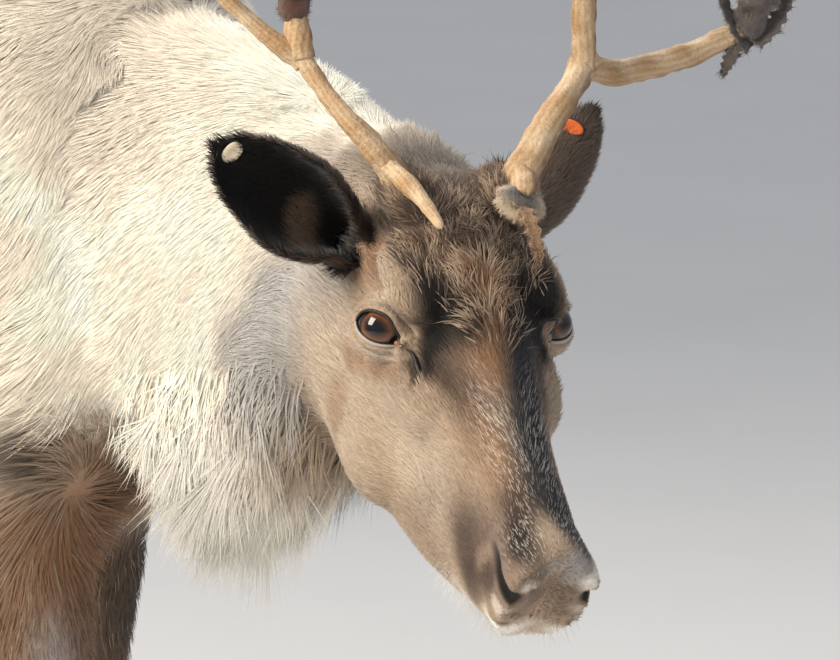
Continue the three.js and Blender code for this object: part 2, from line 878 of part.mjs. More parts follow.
function notchSolid(ear) {
  const shape = new THREE.Shape();
  const { from, to, low, middle, high } = EAR.notch;
  shape.moveTo(EAR.length * to, low);
  shape.lineTo(EAR.length * to, high);
  shape.lineTo(EAR.length * from, middle);
  const geometry = new THREE.ExtrudeGeometry(shape, { depth: 60, bevelEnabled: false });
  geometry.translate(0, 0, -20);
  return solidOf(geometry.applyMatrix4(ear.matrix).applyMatrix4(headMatrix));
}

function buildEars() {
  for (const ear of EARS) {
    let solid = earSolid(ear, 0);
    for (const tag of TAGS) {
      if (EARS[tag.ear] !== ear) continue;
      solid = solid.subtract(tagSolid(tag, GAP));
      const colour = ear.side < 0 ? COLOURS.creamTag : COLOURS.orangeTag;
      addNode(tag.name, tagSolid(tag, 0), colour, 0.4);
    }
    addNode(ear.name, solid.subtract(notchSolid(ear)), ear.colour);
  }
}

// Antlers: each branch is a tapered tube, and a branch starts at a place on its parent

const ANTLERS = [
  {
    side: "right",
    beam: {
      path: [
        [-72, -33, 46],
        [-86, -58, 76],
        [-104, -77, 90],
        [-122, -88, 97],
        [-140, -98, 107],
        [-148, -102, 112],
      ],
      radius: [10, 8, 6.2, 5.8, 6.8, 7],
      spike: {
        path: [
          [-84, -52, 68],
          [-52, -40, 70],
          [-16, -31, 68],
        ],
        radius: [6.5, 5.8, 3],
      },
    },
    branches: [
      {
        name: "front",
        path: [
          [-140, -98, 106],
          [-162, -104, 136],
          [-194, -104, 200],
          [-204, -92, 270],
          [-192, -78, 325],
        ],
        radius: [8.5, 8, 7.5, 6, 2],
      },
      {
        name: "rear",
        path: [
          [-138, -97, 104],
          [-156, -124, 117],
          [-178, -156, 138],
          [-214, -176, 176],
        ],
        radius: [7, 5.5, 4.5, 1.6],
      },
    ],
  },
  {
    side: "left",
    beam: {
      path: [
        [-70, 37, 42],
        [-84, 50, 72],
        [-106, 70, 88],
        [-128, 88, 92],
        [-146, 102, 96],
        [-150, 108, 98],
      ],
      radius: [12.5, 11, 9.5, 9, 9.5, 9],
      spike: {
        path: [
          [-76, 44, 62],
          [-60, 38, 68],
          [-40, 32, 68],
        ],
        radius: [8, 8, 7],
      },
    },
    branches: [
      {
        name: "front",
        path: [
          [-144, 101, 95],
          [-154, 97, 122],
          [-174, 88, 182],
          [-188, 76, 240],
        ],
        radius: [8.5, 8, 7, 1.8],
      },
      {
        name: "rear",
        path: [
          [-145, 101, 94],
          [-153, 132, 84],
          [-160, 164, 86],
          [-166, 196, 95],
          [-168, 220, 112],
          [-180, 222, 160],
          [-192, 208, 226],
        ],
        radius: [9, 8.5, 8.5, 8, 7.5, 6, 2],
      },
    ],
  },
];
const BRANCH_STEPS = 10;

// The ring of a branch at which it parts from its beam.
const PARTING_RING = 2;

// Velvet: shed skin that still wraps a branch, and shreds that hang from it
const VELVETS = [
  {
    name: "velvet_right_front",
    antler: 0,
    branch: 0,
    first: 1,
    last: 7,
    thickness: 2,
    colour: COLOURS.velvet,
    shreds: [
      { path: [[-186, -98, 186], [-200, -96, 176], [-207, -97, 158], [-209, -99, 140]], width: 7 },
      { path: [[-184, -106, 176], [-193, -114, 166], [-198, -118, 150]], width: 5 },
    ],
  },
  {
    name: "velvet_left_rear",
    antler: 1,
    branch: 1,
    first: 5,
    last: 8,
    thickness: 5,
    colour: COLOURS.greyVelvet,
    shreds: [
      { path: [[-156, 220, 100], [-163, 212, 109], [-176, 204, 121], [-191, 198, 135]], width: 15 },
      { path: [[-156, 226, 105], [-160, 236, 116], [-167, 244, 130], [-178, 247, 145]], width: 13 },
      { path: [[-163, 217, 106], [-158, 212, 98], [-154, 208, 90], [-150, 205, 82]], width: 10 },
    ],
  },
];
const BROW_VELVET = {
  place: [-42, 31, 66],
  radii: [18, 16, 8],
  shred: [[-40, 26, 70], [-22, 28, 71], [-8, 31, 64], [3, 34, 52]],
  width: 12,
};

// A ragged strip of velvet.
function shredSolid(path, width, grow) {
  const widths = [0.8, 1, 0.75, 0.5].map((share) => (share * width) / 2);
  const depths = [1.8, 1.8, 1.5, 1.1];
  return solidOf(
    inHead(sweep({ path, width: widths, depth: depths, sides: 5, steps: 5, grow })),
  );
}

function buildVelvet(velvet) {
  const antler = ANTLERS[velvet.antler];
  const branch = antler.branches[velvet.branch];
  const tube = branchTube(branch);
  const fatter = branch.radius.map((radius) => radius + velvet.thickness);
  const { first, last } = velvet;
  const sleeve = solidOf(inHead(sweep({ ...tube, width: fatter, first, last })));
  const shreds = velvet.shreds.map((shred) => shredSolid(shred.path, shred.width, 0));
  const bone = solidOf(inHead(sweep({ ...tube, grow: GAP })));
  const wrap = wasm.Manifold.union([sleeve, ...shreds]);
  addNode(velvet.name, wrap.subtract(bone).subtract(forkSolid(antler, GAP)), velvet.colour, 1);
}

function browVelvetSolid(grow) {
  const rosette = new THREE.IcosahedronGeometry(1, 1);
  rosette.scale(...BROW_VELVET.radii.map((radius) => radius + grow));
  rosette.translate(...BROW_VELVET.place);
  const shred = shredSolid(BROW_VELVET.shred, BROW_VELVET.width, grow);
  return solidOf(inHead(rosette)).add(shred);
}

function beamSolid(antler, grow) {
  const { path, radius, spike } = antler.beam;
  const beam = sweep({ path, width: radius, sides: 8, steps: 8, grow });
  const tine = sweep({ path: spike.path, width: spike.radius, sides: 7, steps: 5, grow });
  return solidOf(inHead(beam)).add(solidOf(inHead(tine)));
}

function buildBrowVelvet() {
  const solid = browVelvetSolid(0).subtract(beamSolid(ANTLERS[1], GAP));
  addNode("velvet_left_brow", solid, COLOURS.greyVelvet, 1);
}

// The whole of a branch, ready to sweep.
function branchTube(branch) {
  return { path: branch.path, width: branch.radius, sides: 8, steps: BRANCH_STEPS };
}

// The beam with the first stretch of each of its branches.
function forkSolid(antler, grow) {
  const trim = GAP / 2;
  const stubs = antler.branches.map((branch) =>
    solidOf(inHead(sweep({ ...branchTube(branch), last: PARTING_RING, trim, grow }))),
  );
  return wasm.Manifold.union([beamSolid(antler, grow), ...stubs]);
}

function buildAntler(antler) {
  const { side, branches } = antler;
  for (const branch of branches) {
    const tube = { ...branchTube(branch), first: PARTING_RING, trim: GAP / 2 };
    const solid = solidOf(inHead(sweep(tube))).subtract(forkSolid(antler, GAP));
    addNode(`antler_${side}_${branch.name}`, solid, COLOURS.bone, 0.6);
  }
  addNode(`antler_${side}_beam`, forkSolid(antler, 0), COLOURS.bone, 0.6);
}

// Head

function eyeSpheres(side, grow) {
  const geometry = new THREE.IcosahedronGeometry(EYE.radius + grow, 2);
  geometry.translate(...sided(EYE.place, side));
  return solidOf(inHead(geometry));
}

// The almond between the lids, as a prism out of the eye.
function almondSolid(side) {
  const half = EYE.length / 2;
  const shape = new THREE.Shape();
  shape.moveTo(-half, 0);
  shape.quadraticCurveTo(0, EYE.height * 1.1, half, 0);
  shape.quadraticCurveTo(0, -EYE.height * 0.9, -half, 0);
  const geometry = new THREE.ExtrudeGeometry(shape, {
    depth: 40,
    bevelEnabled: false,
    curveSegments: 5,
  });
  geometry.rotateZ(THREE.MathUtils.degToRad(side * EYE.tilt));
  geometry.translate(0, 0, 4);
  const out = unit(sided(EYE.out, side));
  const upward = unit(add([0, 0, 1], out, -out[2]));
  geometry.applyMatrix4(basisAt(sided(EYE.place, side), cross(upward, out), upward, out));
  return solidOf(inHead(geometry));
}

function nostrilSolid(side) {
  const path = NOSTRIL.path.map((p) => settled(headDistance, sided(p, side)));
  return solidOf(inHead(sweep({ path, width: NOSTRIL.radii, sides: 6, steps: 6 })));
}

function glandSolid(side) {
  const from = settled(headDistance, sided(GLAND.from, side));
  const to = settled(headDistance, sided(GLAND.to, side));
  const middle = settled(headDistance, add(from, to).map((v) => v / 2));
  const { radius } = GLAND;
  const width = [radius * 0.4, radius, radius * 0.4];
  return solidOf(inHead(sweep({ path: [from, middle, to], width, sides: 5, steps: 4 })));
}

// A thin blade along the line of the mouth, from corner to corner.
function mouthSolid() {
  const left = MOUTH.path.map((p) => settled(headDistance, p));
  const right = left.slice(0, -1).map((p) => sided(p, -1));
  const path = [...right, ...left.reverse()];
  const width = [1, 1, 1].map(() => MOUTH.depth);
  const depth = [1, 1, 1].map(() => MOUTH.height);
  return solidOf(inHead(sweep({ path, width, depth, up: [0, 0, 1], sides: 6, steps: 18 })));
}

function buildHead() {
  const inBody = (point) => bodyDistance(moved(headMatrix, point));
  const geometry = fieldGeometry(
    inBody,
    gridLines([-190, -40, 26], [-40, 40, 16], [40, 150, 24], [150, 244, 12.5]),
    gridLines([-92, 92, 13]),
    gridLines([-175, -115, 20], [-115, 85, 15]),
  );
  let head = solidOf(inHead(geometry));
  for (const side of [-1, 1]) {
    const lids = new THREE.IcosahedronGeometry(EYE.radius + EYE.lid, 2);
    lids.translate(...sided(EYE.place, side));
    head = head.add(solidOf(inHead(lids)));
    head = head.subtract(almondSolid(side)).subtract(eyeSpheres(side, GAP));
    head = head.subtract(nostrilSolid(side)).subtract(glandSolid(side));
  }
  head = head.subtract(mouthSolid());
  for (const antler of ANTLERS) head = head.subtract(beamSolid(antler, GAP));
  head = head.subtract(browVelvetSolid(GAP));
  for (const ear of EARS) head = head.subtract(earSolid(ear, GAP));
  const place = moved(headMatrix, POLL_CUT.place);
  head = head.intersect(halfSpace(place, pollNormal(), -GAP / 2));
  addNode("head", head, COLOURS.face);
  for (const side of [-1, 1]) {
    const name = side < 0 ? "eye_right" : "eye_left";
    addNode(name, eyeSpheres(side, 0), COLOURS.eye, 0.08);
  }
}

function pollNormal() {
  return new THREE.Vector3(...POLL_CUT.normal).transformDirection(headMatrix).toArray();
}

// Neck, with the white beard that hangs from the throat

// A flat, tapered lock that leaves the coat at a root, bends with its lie and ends in a point.
function lockSolid({ root, out, lie, length, width, lift }) {
  const path = [
    add(add(root, lie, -length * 0.12), out, -BEARD.sunk),
    add(add(root, lie, length * 0.3), out, lift * 0.4),
    add(add(root, lie, length * 0.7), out, lift),
    add(add(root, lie, length), BEARD.curve, length * 0.1),
  ];
  const widths = [0.7, 1, 0.66, 0.05].map((share) => (share * width) / 2);
  const depths = [0.8, 1, 0.7, 0.12].map((share) => (share * BEARD.thickness) / 2);
  return solidOf(sweep({ path, width: widths, depth: depths, up: out, sides: 4, steps: 4 }));
}

// One lock's root, lie and size at a place along and around the neck.
function lockAt(t, even, random) {
  const angle = THREE.MathUtils.degToRad(even * BEARD.spread + (random() - 0.5) * 9);
  const frame = neckFrame(t);
  const wide = along(NECK.places, NECK.width, t) * Math.sin(angle);
  const deep = along(NECK.places, NECK.height, t) * Math.cos(angle);
  const guess = add(add(frame.place, frame.side, wide), frame.up, -deep);
  const root = settled(bodyDistance, guess);
  const out = unit(slopeOf(bodyDistance, root));
  const kept = Math.max(-out[2], 0) * BEARD.hang;
  const lie = unit(add(BEARD.lie, out, -dot(BEARD.lie, out) * (1 - kept)));
  const share = 1 - Math.abs(even) * (1 - BEARD.sideLength);
  return {
    root,
    out,
    lie,
    length: BEARD.length * share * (0.82 + random() * 0.3),
    width: BEARD.width * (0.85 + random() * 0.3),
    lift: BEARD.lift * (0.5 + random()),
  };
}

function beardLocks() {
  const random = seeded(SEED);
  const locks = [];
  for (let row = 0; row < BEARD.rows; row += 1) {
    for (let place = 0; place < BEARD.across; place += 1) {
      const share = (row + random() * 0.5) / (BEARD.rows - 0.5);
      const t = BEARD.from + (BEARD.to - BEARD.from) * share;
      const even = (2 * (place + (row % 2) * 0.5)) / (BEARD.across - 0.5) - 1;
      locks.push(lockSolid(lockAt(t, even, random)));
    }
  }
  return locks;
}

function buildNeck() {
  const geometry = fieldGeometry(
    bodyDistance,
    gridLines([290, 760, 36]),
    gridLines([-240, 180, 30]),
    gridLines([500, 1020, 34]),
  );
  let neck = wasm.Manifold.union([solidOf(geometry), ...beardLocks()]);
  neck = neck.intersect(halfSpace(NECK_CUT.place, NECK_CUT.normal, -GAP / 2));
  neck = neck.subtract(halfSpace(moved(headMatrix, POLL_CUT.place), pollNormal(), GAP / 2));
  for (const ear of EARS) neck = neck.subtract(earSolid(ear, GAP));
  addNode("neck", neck, COLOURS.coat);
}

buildTorso();
buildTail();
LEGS.forEach(buildLeg);
buildHead();
buildNeck();
buildEars();
ANTLERS.forEach(buildAntler);
VELVETS.forEach(buildVelvet);
buildBrowVelvet();

// The group's origin is the middle of the floor under the whole animal
const group = new THREE.Group();
for (const mesh of nodes.values()) group.add(mesh);
const box = new THREE.Box3().setFromObject(group);
group.position.set(-(box.min.x + box.max.x) / 2, -(box.min.y + box.max.y) / 2, -box.min.z);

export default group;
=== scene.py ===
import math

import bmesh
import bpy
import numpy as np
from bpy.props import FloatProperty, FloatVectorProperty, IntProperty, PointerProperty
from mathutils import Matrix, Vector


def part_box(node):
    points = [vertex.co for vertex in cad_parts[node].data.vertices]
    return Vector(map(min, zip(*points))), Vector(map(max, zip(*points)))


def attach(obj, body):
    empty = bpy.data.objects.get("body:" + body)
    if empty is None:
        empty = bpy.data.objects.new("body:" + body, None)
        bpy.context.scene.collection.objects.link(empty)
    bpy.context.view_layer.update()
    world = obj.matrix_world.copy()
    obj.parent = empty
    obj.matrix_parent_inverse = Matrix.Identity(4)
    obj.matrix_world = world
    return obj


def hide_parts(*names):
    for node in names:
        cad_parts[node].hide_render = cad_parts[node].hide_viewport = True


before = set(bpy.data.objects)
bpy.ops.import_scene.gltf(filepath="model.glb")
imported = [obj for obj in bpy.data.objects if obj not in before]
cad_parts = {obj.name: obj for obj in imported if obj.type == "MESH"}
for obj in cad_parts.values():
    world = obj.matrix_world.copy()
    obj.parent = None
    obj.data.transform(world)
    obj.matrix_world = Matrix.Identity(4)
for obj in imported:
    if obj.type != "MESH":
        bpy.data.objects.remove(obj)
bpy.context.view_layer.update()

bl_info = {
    "name": "Reindeer",
    "version": (1, 0, 0),
    "blender": (4, 5, 0),
    "location": "3D View > Sidebar > Reindeer",
    "description": "Dresses a still, life-size reindeer: skin, coat, antlers, eyes, ears and hooves",
    "category": "Object",
}

SEED = 4184

# Sizes of the body, in millimetres: x ahead, y to the left, z up from the ground

TRUNK = {
    "x": [-430, -300, -150, 0, 150, 290, 350],
    "top": [900, 938, 932, 926, 936, 962, 945],
    "bottom": [660, 590, 556, 528, 516, 528, 572],
    "half": [150, 180, 196, 200, 188, 162, 136],
    "power": 2.3,
    "rear_cap": 105,
    "front_cap": 70,
}
NECK = {
    "start": [300, 0, 748],
    "middle": [500, -8, 736],
    "end": [664, -72, 752],
    "places": [0, 0.3, 0.6, 1],
    "width": [126, 112, 96, 74],
    "height": [186, 172, 150, 104],
    "cap": 40,
}
NECK_CUT = {"place": [372, 0, 760], "normal": [0.95, 0, 0.31]}

# The head's own frame: x along the bridge of the nose, y to its left, z out of the forehead
HEAD = {"place": [765, -130, 740], "turn": -32.5, "drop": 31.6, "roll": -3}
SKULL = {
    "x": [-118, -80, -40, 0, 40, 80, 120, 160, 188],
    "top": [42, 55, 57, 50, 35, 21, 10, 1, -7],
    "middle": [-30, -40, -50, -58, -70, -76, -72, -64, -56],
    "bottom": [-100, -134, -152, -156, -152, -141, -124, -107, -95],
    "half": [50, 57, 59, 53, 45, 39, 35, 33, 31],
    "power": 2.2,
    "rear_cap": 38,
    "front_cap": 22,
}
# Soft masses: place, radii and the width of the seam that blends each in, on both sides
HEAD_MASSES = {
    "brow": ([-12, 46, 24], [32, 15, 11], 24),
    "cheek": ([-22, 36, -92], [60, 22, 54], 18),
    "cheek bone": ([22, 40, -26], [40, 12, 16], 30),
    "pedicle": ([-70, 34, 50], [22, 18, 12], 16),
    "nose": ([190, 0, -33], [35, 27, 26], 10),
    "nostril wing": ([197, 16, -39], [24, 15, 18], 8),
    "upper lip": ([184, 10, -62], [28, 20, 18], 8),
    "chin": ([173, 0, -83], [25, 23, 13], 8),
}
MUSCLES = {
    "shoulder": ([322, 92, 735], [84, 62, 180], 60),
    "haunch": ([-388, 90, 755], [128, 80, 155], 60),
}

# Stretches of a limb: x, z and radius at each end, and the seam
FORELEG = {
    "y": 92,
    "stretches": [
        ([358, 660, 68], [330, 568, 54], 45),
        ([330, 572, 54], [348, 335, 30], 22),
        ([349, 335, 31], [349, 302, 29], 14),
        ([347, 300, 25], [342, 118, 21], 12),
        ([342, 112, 25], [342, 92, 26], 12),
        ([343, 92, 25], [360, 46, 34], 12),
    ],
}
HINDLEG = {
    "y": 96,
    "stretches": [
        ([-352, 690, 92], [-318, 612, 66], 60),
        ([-322, 615, 66], [-452, 402, 30], 34),
        ([-470, 690, 56], [-452, 470, 26], 40),
        ([-484, 425, 17], [-462, 368, 32], 14),
        ([-460, 372, 31], [-458, 320, 26], 14),
        ([-458, 322, 26], [-448, 118, 22], 12),
        ([-448, 112, 26], [-447, 92, 27], 12),
        ([-446, 92, 26], [-428, 46, 34], 12),
    ],
}
# The share of a leg's step that stays at the elbow, and the height under which the hooves hide the skin
ELBOW_HEIGHT = 600
STEP_ABOVE = 0.45
SOLE_HEIGHT = 40
LEGS = {
    "foreleg_right": (-1, FORELEG, 30),
    "foreleg_left": (1, FORELEG, -172),
    "hindleg_right": (-1, HINDLEG, -34),
    "hindleg_left": (1, HINDLEG, 52),
}
TAIL = {
    "path": [[-480, 0, 874], [-538, 0, 858], [-564, 0, 812], [-570, 0, 752]],
    "radius": [16, 15, 14, 5],
    "seam": 22,
    "from": -380,
    "hair_from": -490,
}
CLAW = {"length": 92, "width": 40, "front": 56, "slope": 0.2, "gap": 3.5}
DEWCLAW = {"radius": 10, "behind": 34, "apart": 21, "height": 56, "root": [8, 0, 8], "tip": [-14, 5, -22]}

# Parts of the head, in its own frame, on the left side. The eye's node is the middle of its packed
# solid, and its place is the middle of the ball built here, a little further out.
EYE = {
    "node": [-8, 50, -5],
    "place": [-9, 54.5, -7],
    "out": [0.47, 0.8, 0.36],
    "radius": 18,
    "lid": 3,
    "tilt": -6,
    "middle": [-4, -2],
    "half": 17,
    "upper": 13.7,
    "lower": 5.8,
    "floor": 7.5,
    "iris": [-3.6, 2.4],
}
NOSTRIL = {
    "path": [[167, 30, -34], [180, 30, -37], [192, 29.5, -40], [203, 27, -43], [214, 21, -45]],
    "radius": [1.6, 3.2, 4.2, 5.4, 3.8],
    "wing": 1.8,
    "wing_at": 4.5,
    "wing_width": 3.2,
    "seam": 3,
}
MOUTH_PATH = [[150, 39, -88], [172, 36, -84], [194, 28, -74], [207, 14, -69], [211, 0, -68]]
MOUTH_FURROW = {"depth": 4.5, "width": 1.7, "rim": 1.2, "rim_at": 5, "rim_width": 2.6}
GLAND = {
    "path": [[15, 48, -5], [20, 46, -4], [25, 45, -5], [30, 45, -6], [37, 44.5, -9], [42, 48, -14]],
    "radius": [0.3, 1.0, 1.6, 1.9, 1.7, 0.6],
    "bare": [0.5, 1.1, 1.6, 1.8, 1.6, 0.5],
    "sunk": 0.8,
    "furrow": {"depth": 3.4, "width": 2.2, "rim": 1.2, "rim_at": 5, "rim_width": 2.4},
}
EAR = {
    "length": 112,
    "thickness": 3.0,
    "sunk": 12,
    "places": [0, 0.15, 0.42, 0.72, 0.9, 1],
    "radius": [17, 22, 30, 28, 20, 7],
    "curl": [150, 128, 98, 70, 48, 26],
    "widest_curl": 158,
    "root": [-100, 62, 0],
}
EARS = {
    "ear_right": {
        "side": -1,
        "roll": 1,
        "direction": [-0.1, -0.83, 0.55],
        "opening": [0.75, -0.1, 0.3],
        "wall": "dark",
        "back": ("umber", 1.5),
        "hollow": ("dark", 0.55),
    },
    "ear_left": {
        "side": 1,
        "roll": 1.35,
        "direction": [-0.7, 0.651, 0.293],
        "opening": [-0.38, 0, -0.925],
        "wall": "umber",
        "back": ("mouse", 0.8),
        "hollow": ("umber", 1),
    },
}
# The V cut into the tip of the right ear: share of the length, and millimetres across
NOTCH = {"from": 0.93, "to": 1.1, "low": -10, "middle": -1.5, "high": 4}
TAGS = {
    "cream_tag": {"ear": "ear_right", "along": 0.88, "across": -0.1, "plate": 6, "stretch": 1.35},
    "orange_tag": {"ear": "ear_left", "along": 0.79, "across": -0.15, "plate": 5.5, "stretch": 1.5},
}
TAG = {"stem": 1.6, "plate": 1.6, "bevel": 0.5, "gap": 0.5, "dish": 0.25}

# Antlers, in the head's frame: each branch has a path and a radius at each of its points
ANTLERS = {
    "right": {
        "beam": (
            [[-66, -26, 34], [-72, -33, 46], [-86, -58, 76], [-104, -77, 90], [-122, -88, 97],
             [-140, -98, 107], [-148, -102, 112]],
            [11, 10, 8, 6.2, 5.8, 6.8, 7],
        ),
        "spike": ([[-84, -52, 68], [-52, -40, 70], [-16, -31, 68]], [6.5, 5.8, 3]),
        "front": (
            [[-140, -98, 106], [-162, -104, 136], [-194, -104, 200], [-204, -92, 270], [-192, -78, 325]],
            [8.5, 8, 7.5, 6, 2],
        ),
        "rear": (
            [[-138, -97, 104], [-156, -124, 117], [-178, -156, 138], [-214, -176, 176]],
            [7, 5.5, 4.5, 1.6],
        ),
    },
    "left": {
        "beam": (
            [[-64, 31, 30], [-70, 37, 42], [-84, 50, 72], [-106, 70, 88], [-128, 88, 92],
             [-146, 102, 96], [-150, 108, 98]],
            [13, 12.5, 11, 9.5, 9, 9.5, 9],
        ),
        "spike": ([[-76, 44, 62], [-60, 38, 68], [-40, 32, 68]], [8, 8, 7]),
        "front": (
            [[-144, 101, 95], [-154, 97, 122], [-174, 88, 182], [-188, 76, 240]],
            [8.5, 8, 7, 1.8],
        ),
        "rear": (
            [[-145, 101, 94], [-153, 132, 84], [-160, 164, 86], [-166, 196, 95], [-168, 220, 112],
             [-180, 222, 160], [-192, 208, 226]],
            [9, 8.5, 8.5, 8, 7.5, 6, 2],
        ),
    },
}
# Shed skin that still wraps a branch: where it starts and ends along it, and its hanging shreds
VELVETS = {
    "velvet_right_front": {
        "antler": "right",
        "branch": "front",
        "span": (0.1, 0.7),
        "thickness": 1.8,
        "colour": "brown_velvet",
        "hairs": 2600,
        "shreds": [
            ([[-186, -98, 186], [-200, -96, 176], [-207, -97, 158], [-209, -99, 140]], 7),
            ([[-184, -106, 176], [-193, -114, 166], [-198, -118, 150]], 5),
        ],
    },
    "velvet_left_rear": {
        "antler": "left",
        "branch": "rear",
        "span": (0.5, 0.8),
        "thickness": 4.5,
        "colour": "grey_velvet",
        "hairs": 4200,
        "shreds": [
            ([[-156, 220, 100], [-163, 212, 109], [-176, 204, 121], [-191, 198, 135]], 15),
            ([[-156, 226, 105], [-160, 236, 116], [-167, 244, 130], [-178, 247, 145]], 13),
            ([[-163, 217, 106], [-158, 212, 98], [-154, 208, 90], [-150, 205, 82]], 10),
        ],
    },
}
BROW_VELVET = {
    "place": [-42, 31, 66],
    "radii": [18, 16, 8],
    "shred": [[-40, 26, 70], [-22, 28, 71], [-8, 31, 64], [3, 34, 52]],
    "width": 10.2,
    "tan": [0.85, 0.66, 0.5],
}

# How deep the skin lies under the outline of the coat, and the box and steps of the grid it is made on
DEPTH = {"body": 8, "head": 2.6, "leg": 4}
SKIN_GRID = {"low": [-640, -260, 30], "high": [1010, 260, 1010], "step": 7.0, "quick_step": 11.0}

# How many hairs the pieces of long and fine hair have
HAIRS = {"whiskers": 420, "forehead": 8000, "ear": 14000, "beard": 15000, "tail": 2400, "brow": 4500}

# The photo's viewpoint: angles, the point looked at, how far the camera is moved aside and away, its lens
VIEW = {
    "azimuth": 38,
    "elevation": 10,
    "target": [765, -130, 740],
    "right": -32.2,
    "up": -2.4,
    "distance": 3500,
    "lens": 236.1,
    "sensor": 36,
}
# Each light: metres to the right of the target, above and beyond it, size, setting, share of it, colour
LIGHTS = {
    "key_light": ((-1.9, 1.25, -1.5), 1.3, "key", 1, (1.0, 0.93, 0.82)),
    "fill_light": ((1.8, 0.9, -1.2), 1.8, "fill", 1, (0.82, 0.9, 1.0)),
    "rear_light": ((-0.4, 2.0, 1.4), 1.4, "key", 0.35, (1.0, 0.95, 0.88)),
}

# Curves, frames and distances, on arrays of points in millimetres


def unit(vectors):
    vectors = np.asarray(vectors, float)
    return vectors / np.maximum(np.linalg.norm(vectors, axis=-1, keepdims=True), 1e-9)


def ease(values, low, high):
    share = np.clip((values - low) / (high - low), 0, 1)
    return share * share * (3 - 2 * share)


def along(places, values, x):
    """A smooth curve through the values, level at both ends."""
    places = np.asarray(places, float)
    values = np.asarray(values, float)
    slope = np.zeros(len(values))
    slope[1:-1] = (values[2:] - values[:-2]) / (places[2:] - places[:-2])
    x = np.clip(x, places[0], places[-1])
    i = np.clip(np.searchsorted(places, x) - 1, 0, len(places) - 2)
    width = places[i + 1] - places[i]
    t = (x - places[i]) / width
    rise = t * t * (3 - 2 * t)
    leave = t * (1 - t) * (1 - t) * width * slope[i]
    arrive = t * t * (1 - t) * width * slope[i + 1]
    return values[i] * (1 - rise) + values[i + 1] * rise + leave - arrive


def turned(axis, degrees):
    return np.array(Matrix.Rotation(math.radians(degrees), 3, axis))


HEAD_TURN = turned("Z", HEAD["turn"]) @ turned("Y", HEAD["drop"]) @ turned("X", HEAD["roll"])
HEAD_PLACE = np.array(HEAD["place"], float)


def out_of_head(points):
    return np.asarray(points, float) @ HEAD_TURN.T + HEAD_PLACE


def into_head(points):
    return (points - HEAD_PLACE) @ HEAD_TURN


def mirrored(point, side):
    return np.array([point[0], side * point[1], point[2]], float)


def middle_of(node):
    low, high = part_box(node)
    return (np.array(low) + np.array(high)) * 500


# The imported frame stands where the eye's node says
SHIFT = middle_of("eye_right") - out_of_head(mirrored(EYE["node"], -1))


def in_scene(points):
    return (np.asarray(points, float) + SHIFT) / 1000


def blend(a, b, seam):
    near = np.maximum(seam - np.abs(a - b), 0) / seam
    return np.minimum(a, b) - near * near * seam * 0.25


def loft_distance(loft, points):
    x, y, z = points.T
    top, bottom, half = (along(loft["x"], loft[key], x) for key in ("top", "bottom", "half"))
    middle = along(loft["x"], loft["middle"], x) if "middle" in loft else (top + bottom) / 2
    reach = np.where(z > middle, top - middle, middle - bottom)
    behind = np.maximum(loft["x"][0] - x, 0) / loft["rear_cap"]
    ahead = np.maximum(x - loft["x"][-1], 0) / loft["front_cap"]
    power = loft["power"]
    size = np.abs(y / half) ** power + np.abs((z - middle) / reach) ** power + behind**power + ahead**power
    return (size ** (1 / power) - 1) * np.minimum(half, (top - bottom) / 2)


def ellipsoid_distance(place, radii, points):
    reach = (points - np.asarray(place, float)) / np.asarray(radii, float)
    far = np.linalg.norm(reach, axis=1)
    steep = np.linalg.norm(reach / np.asarray(radii, float), axis=1)
    return far * (far - 1) / np.maximum(steep, 1e-6)


def stretch_distance(start, end, radius_start, radius_end, points):
    start = np.asarray(start, float)
    line = np.asarray(end, float) - start
    offset = points - start
    t = np.clip(offset @ line / (line @ line), 0, 1)
    far = np.linalg.norm(offset - t[:, None] * line, axis=1)
    return far - (radius_start + (radius_end - radius_start) * t)


def chain_distance(path, radius, points):
    stretches = zip(path, path[1:], radius, radius[1:])
    return np.min([stretch_distance(*stretch, points) for stretch in stretches], axis=0)


NECK_CURVE = [np.array(NECK[key], float) for key in ("start", "middle", "end")]


def neck_point(t):
    t = np.asarray(t)[..., None]
    start, middle, end = NECK_CURVE
    return start * (1 - t) ** 2 + middle * 2 * t * (1 - t) + end * t * t


def neck_tangent(t):
    t = np.asarray(t)[..., None]
    start, middle, end = NECK_CURVE
    return 2 * (1 - t) * (middle - start) + 2 * t * (end - middle)


def neck_place(points):
    """The place along the neck that lies nearest to each point."""
    t = np.full(len(points), 0.5)
    for _ in range(6):
        tangent = neck_tangent(t)
        offset = points - neck_point(t)
        t = np.clip(t + (offset * tangent).sum(axis=1) / (tangent * tangent).sum(axis=1), 0, 1)
    return t


def neck_frame(t):
    ahead = unit(neck_tangent(t))
    side = unit(np.cross([0.0, 0.0, 1.0], ahead))
    return neck_point(t), ahead, side, np.cross(ahead, side)


def neck_distance(points):
    t = neck_place(points)
    place, ahead, side, up = neck_frame(t)
    offset = points - place
    width = along(NECK["places"], NECK["width"], t)
    height = along(NECK["places"], NECK["height"], t)
    size = np.sqrt(
        ((offset * side).sum(axis=1) / width) ** 2
        + ((offset * up).sum(axis=1) / height) ** 2
        + ((offset * ahead).sum(axis=1) / NECK["cap"]) ** 2
    )
    return (size - 1) * np.minimum(width, height)


def folded(points):
    return points * [1, 0, 1] + np.abs(points) * [0, 1, 0]


def head_distance(points):
    distance = loft_distance(SKULL, points)
    pair = folded(points)
    for place, radii, seam in HEAD_MASSES.values():
        distance = blend(distance, ellipsoid_distance(place, radii, pair), seam)
    return distance


def joint(side, limb, step, x, z, radius):
    share = 1 - (1 - STEP_ABOVE) * z / ELBOW_HEIGHT
    return np.array([x + step * share, side * limb["y"], z], float), radius


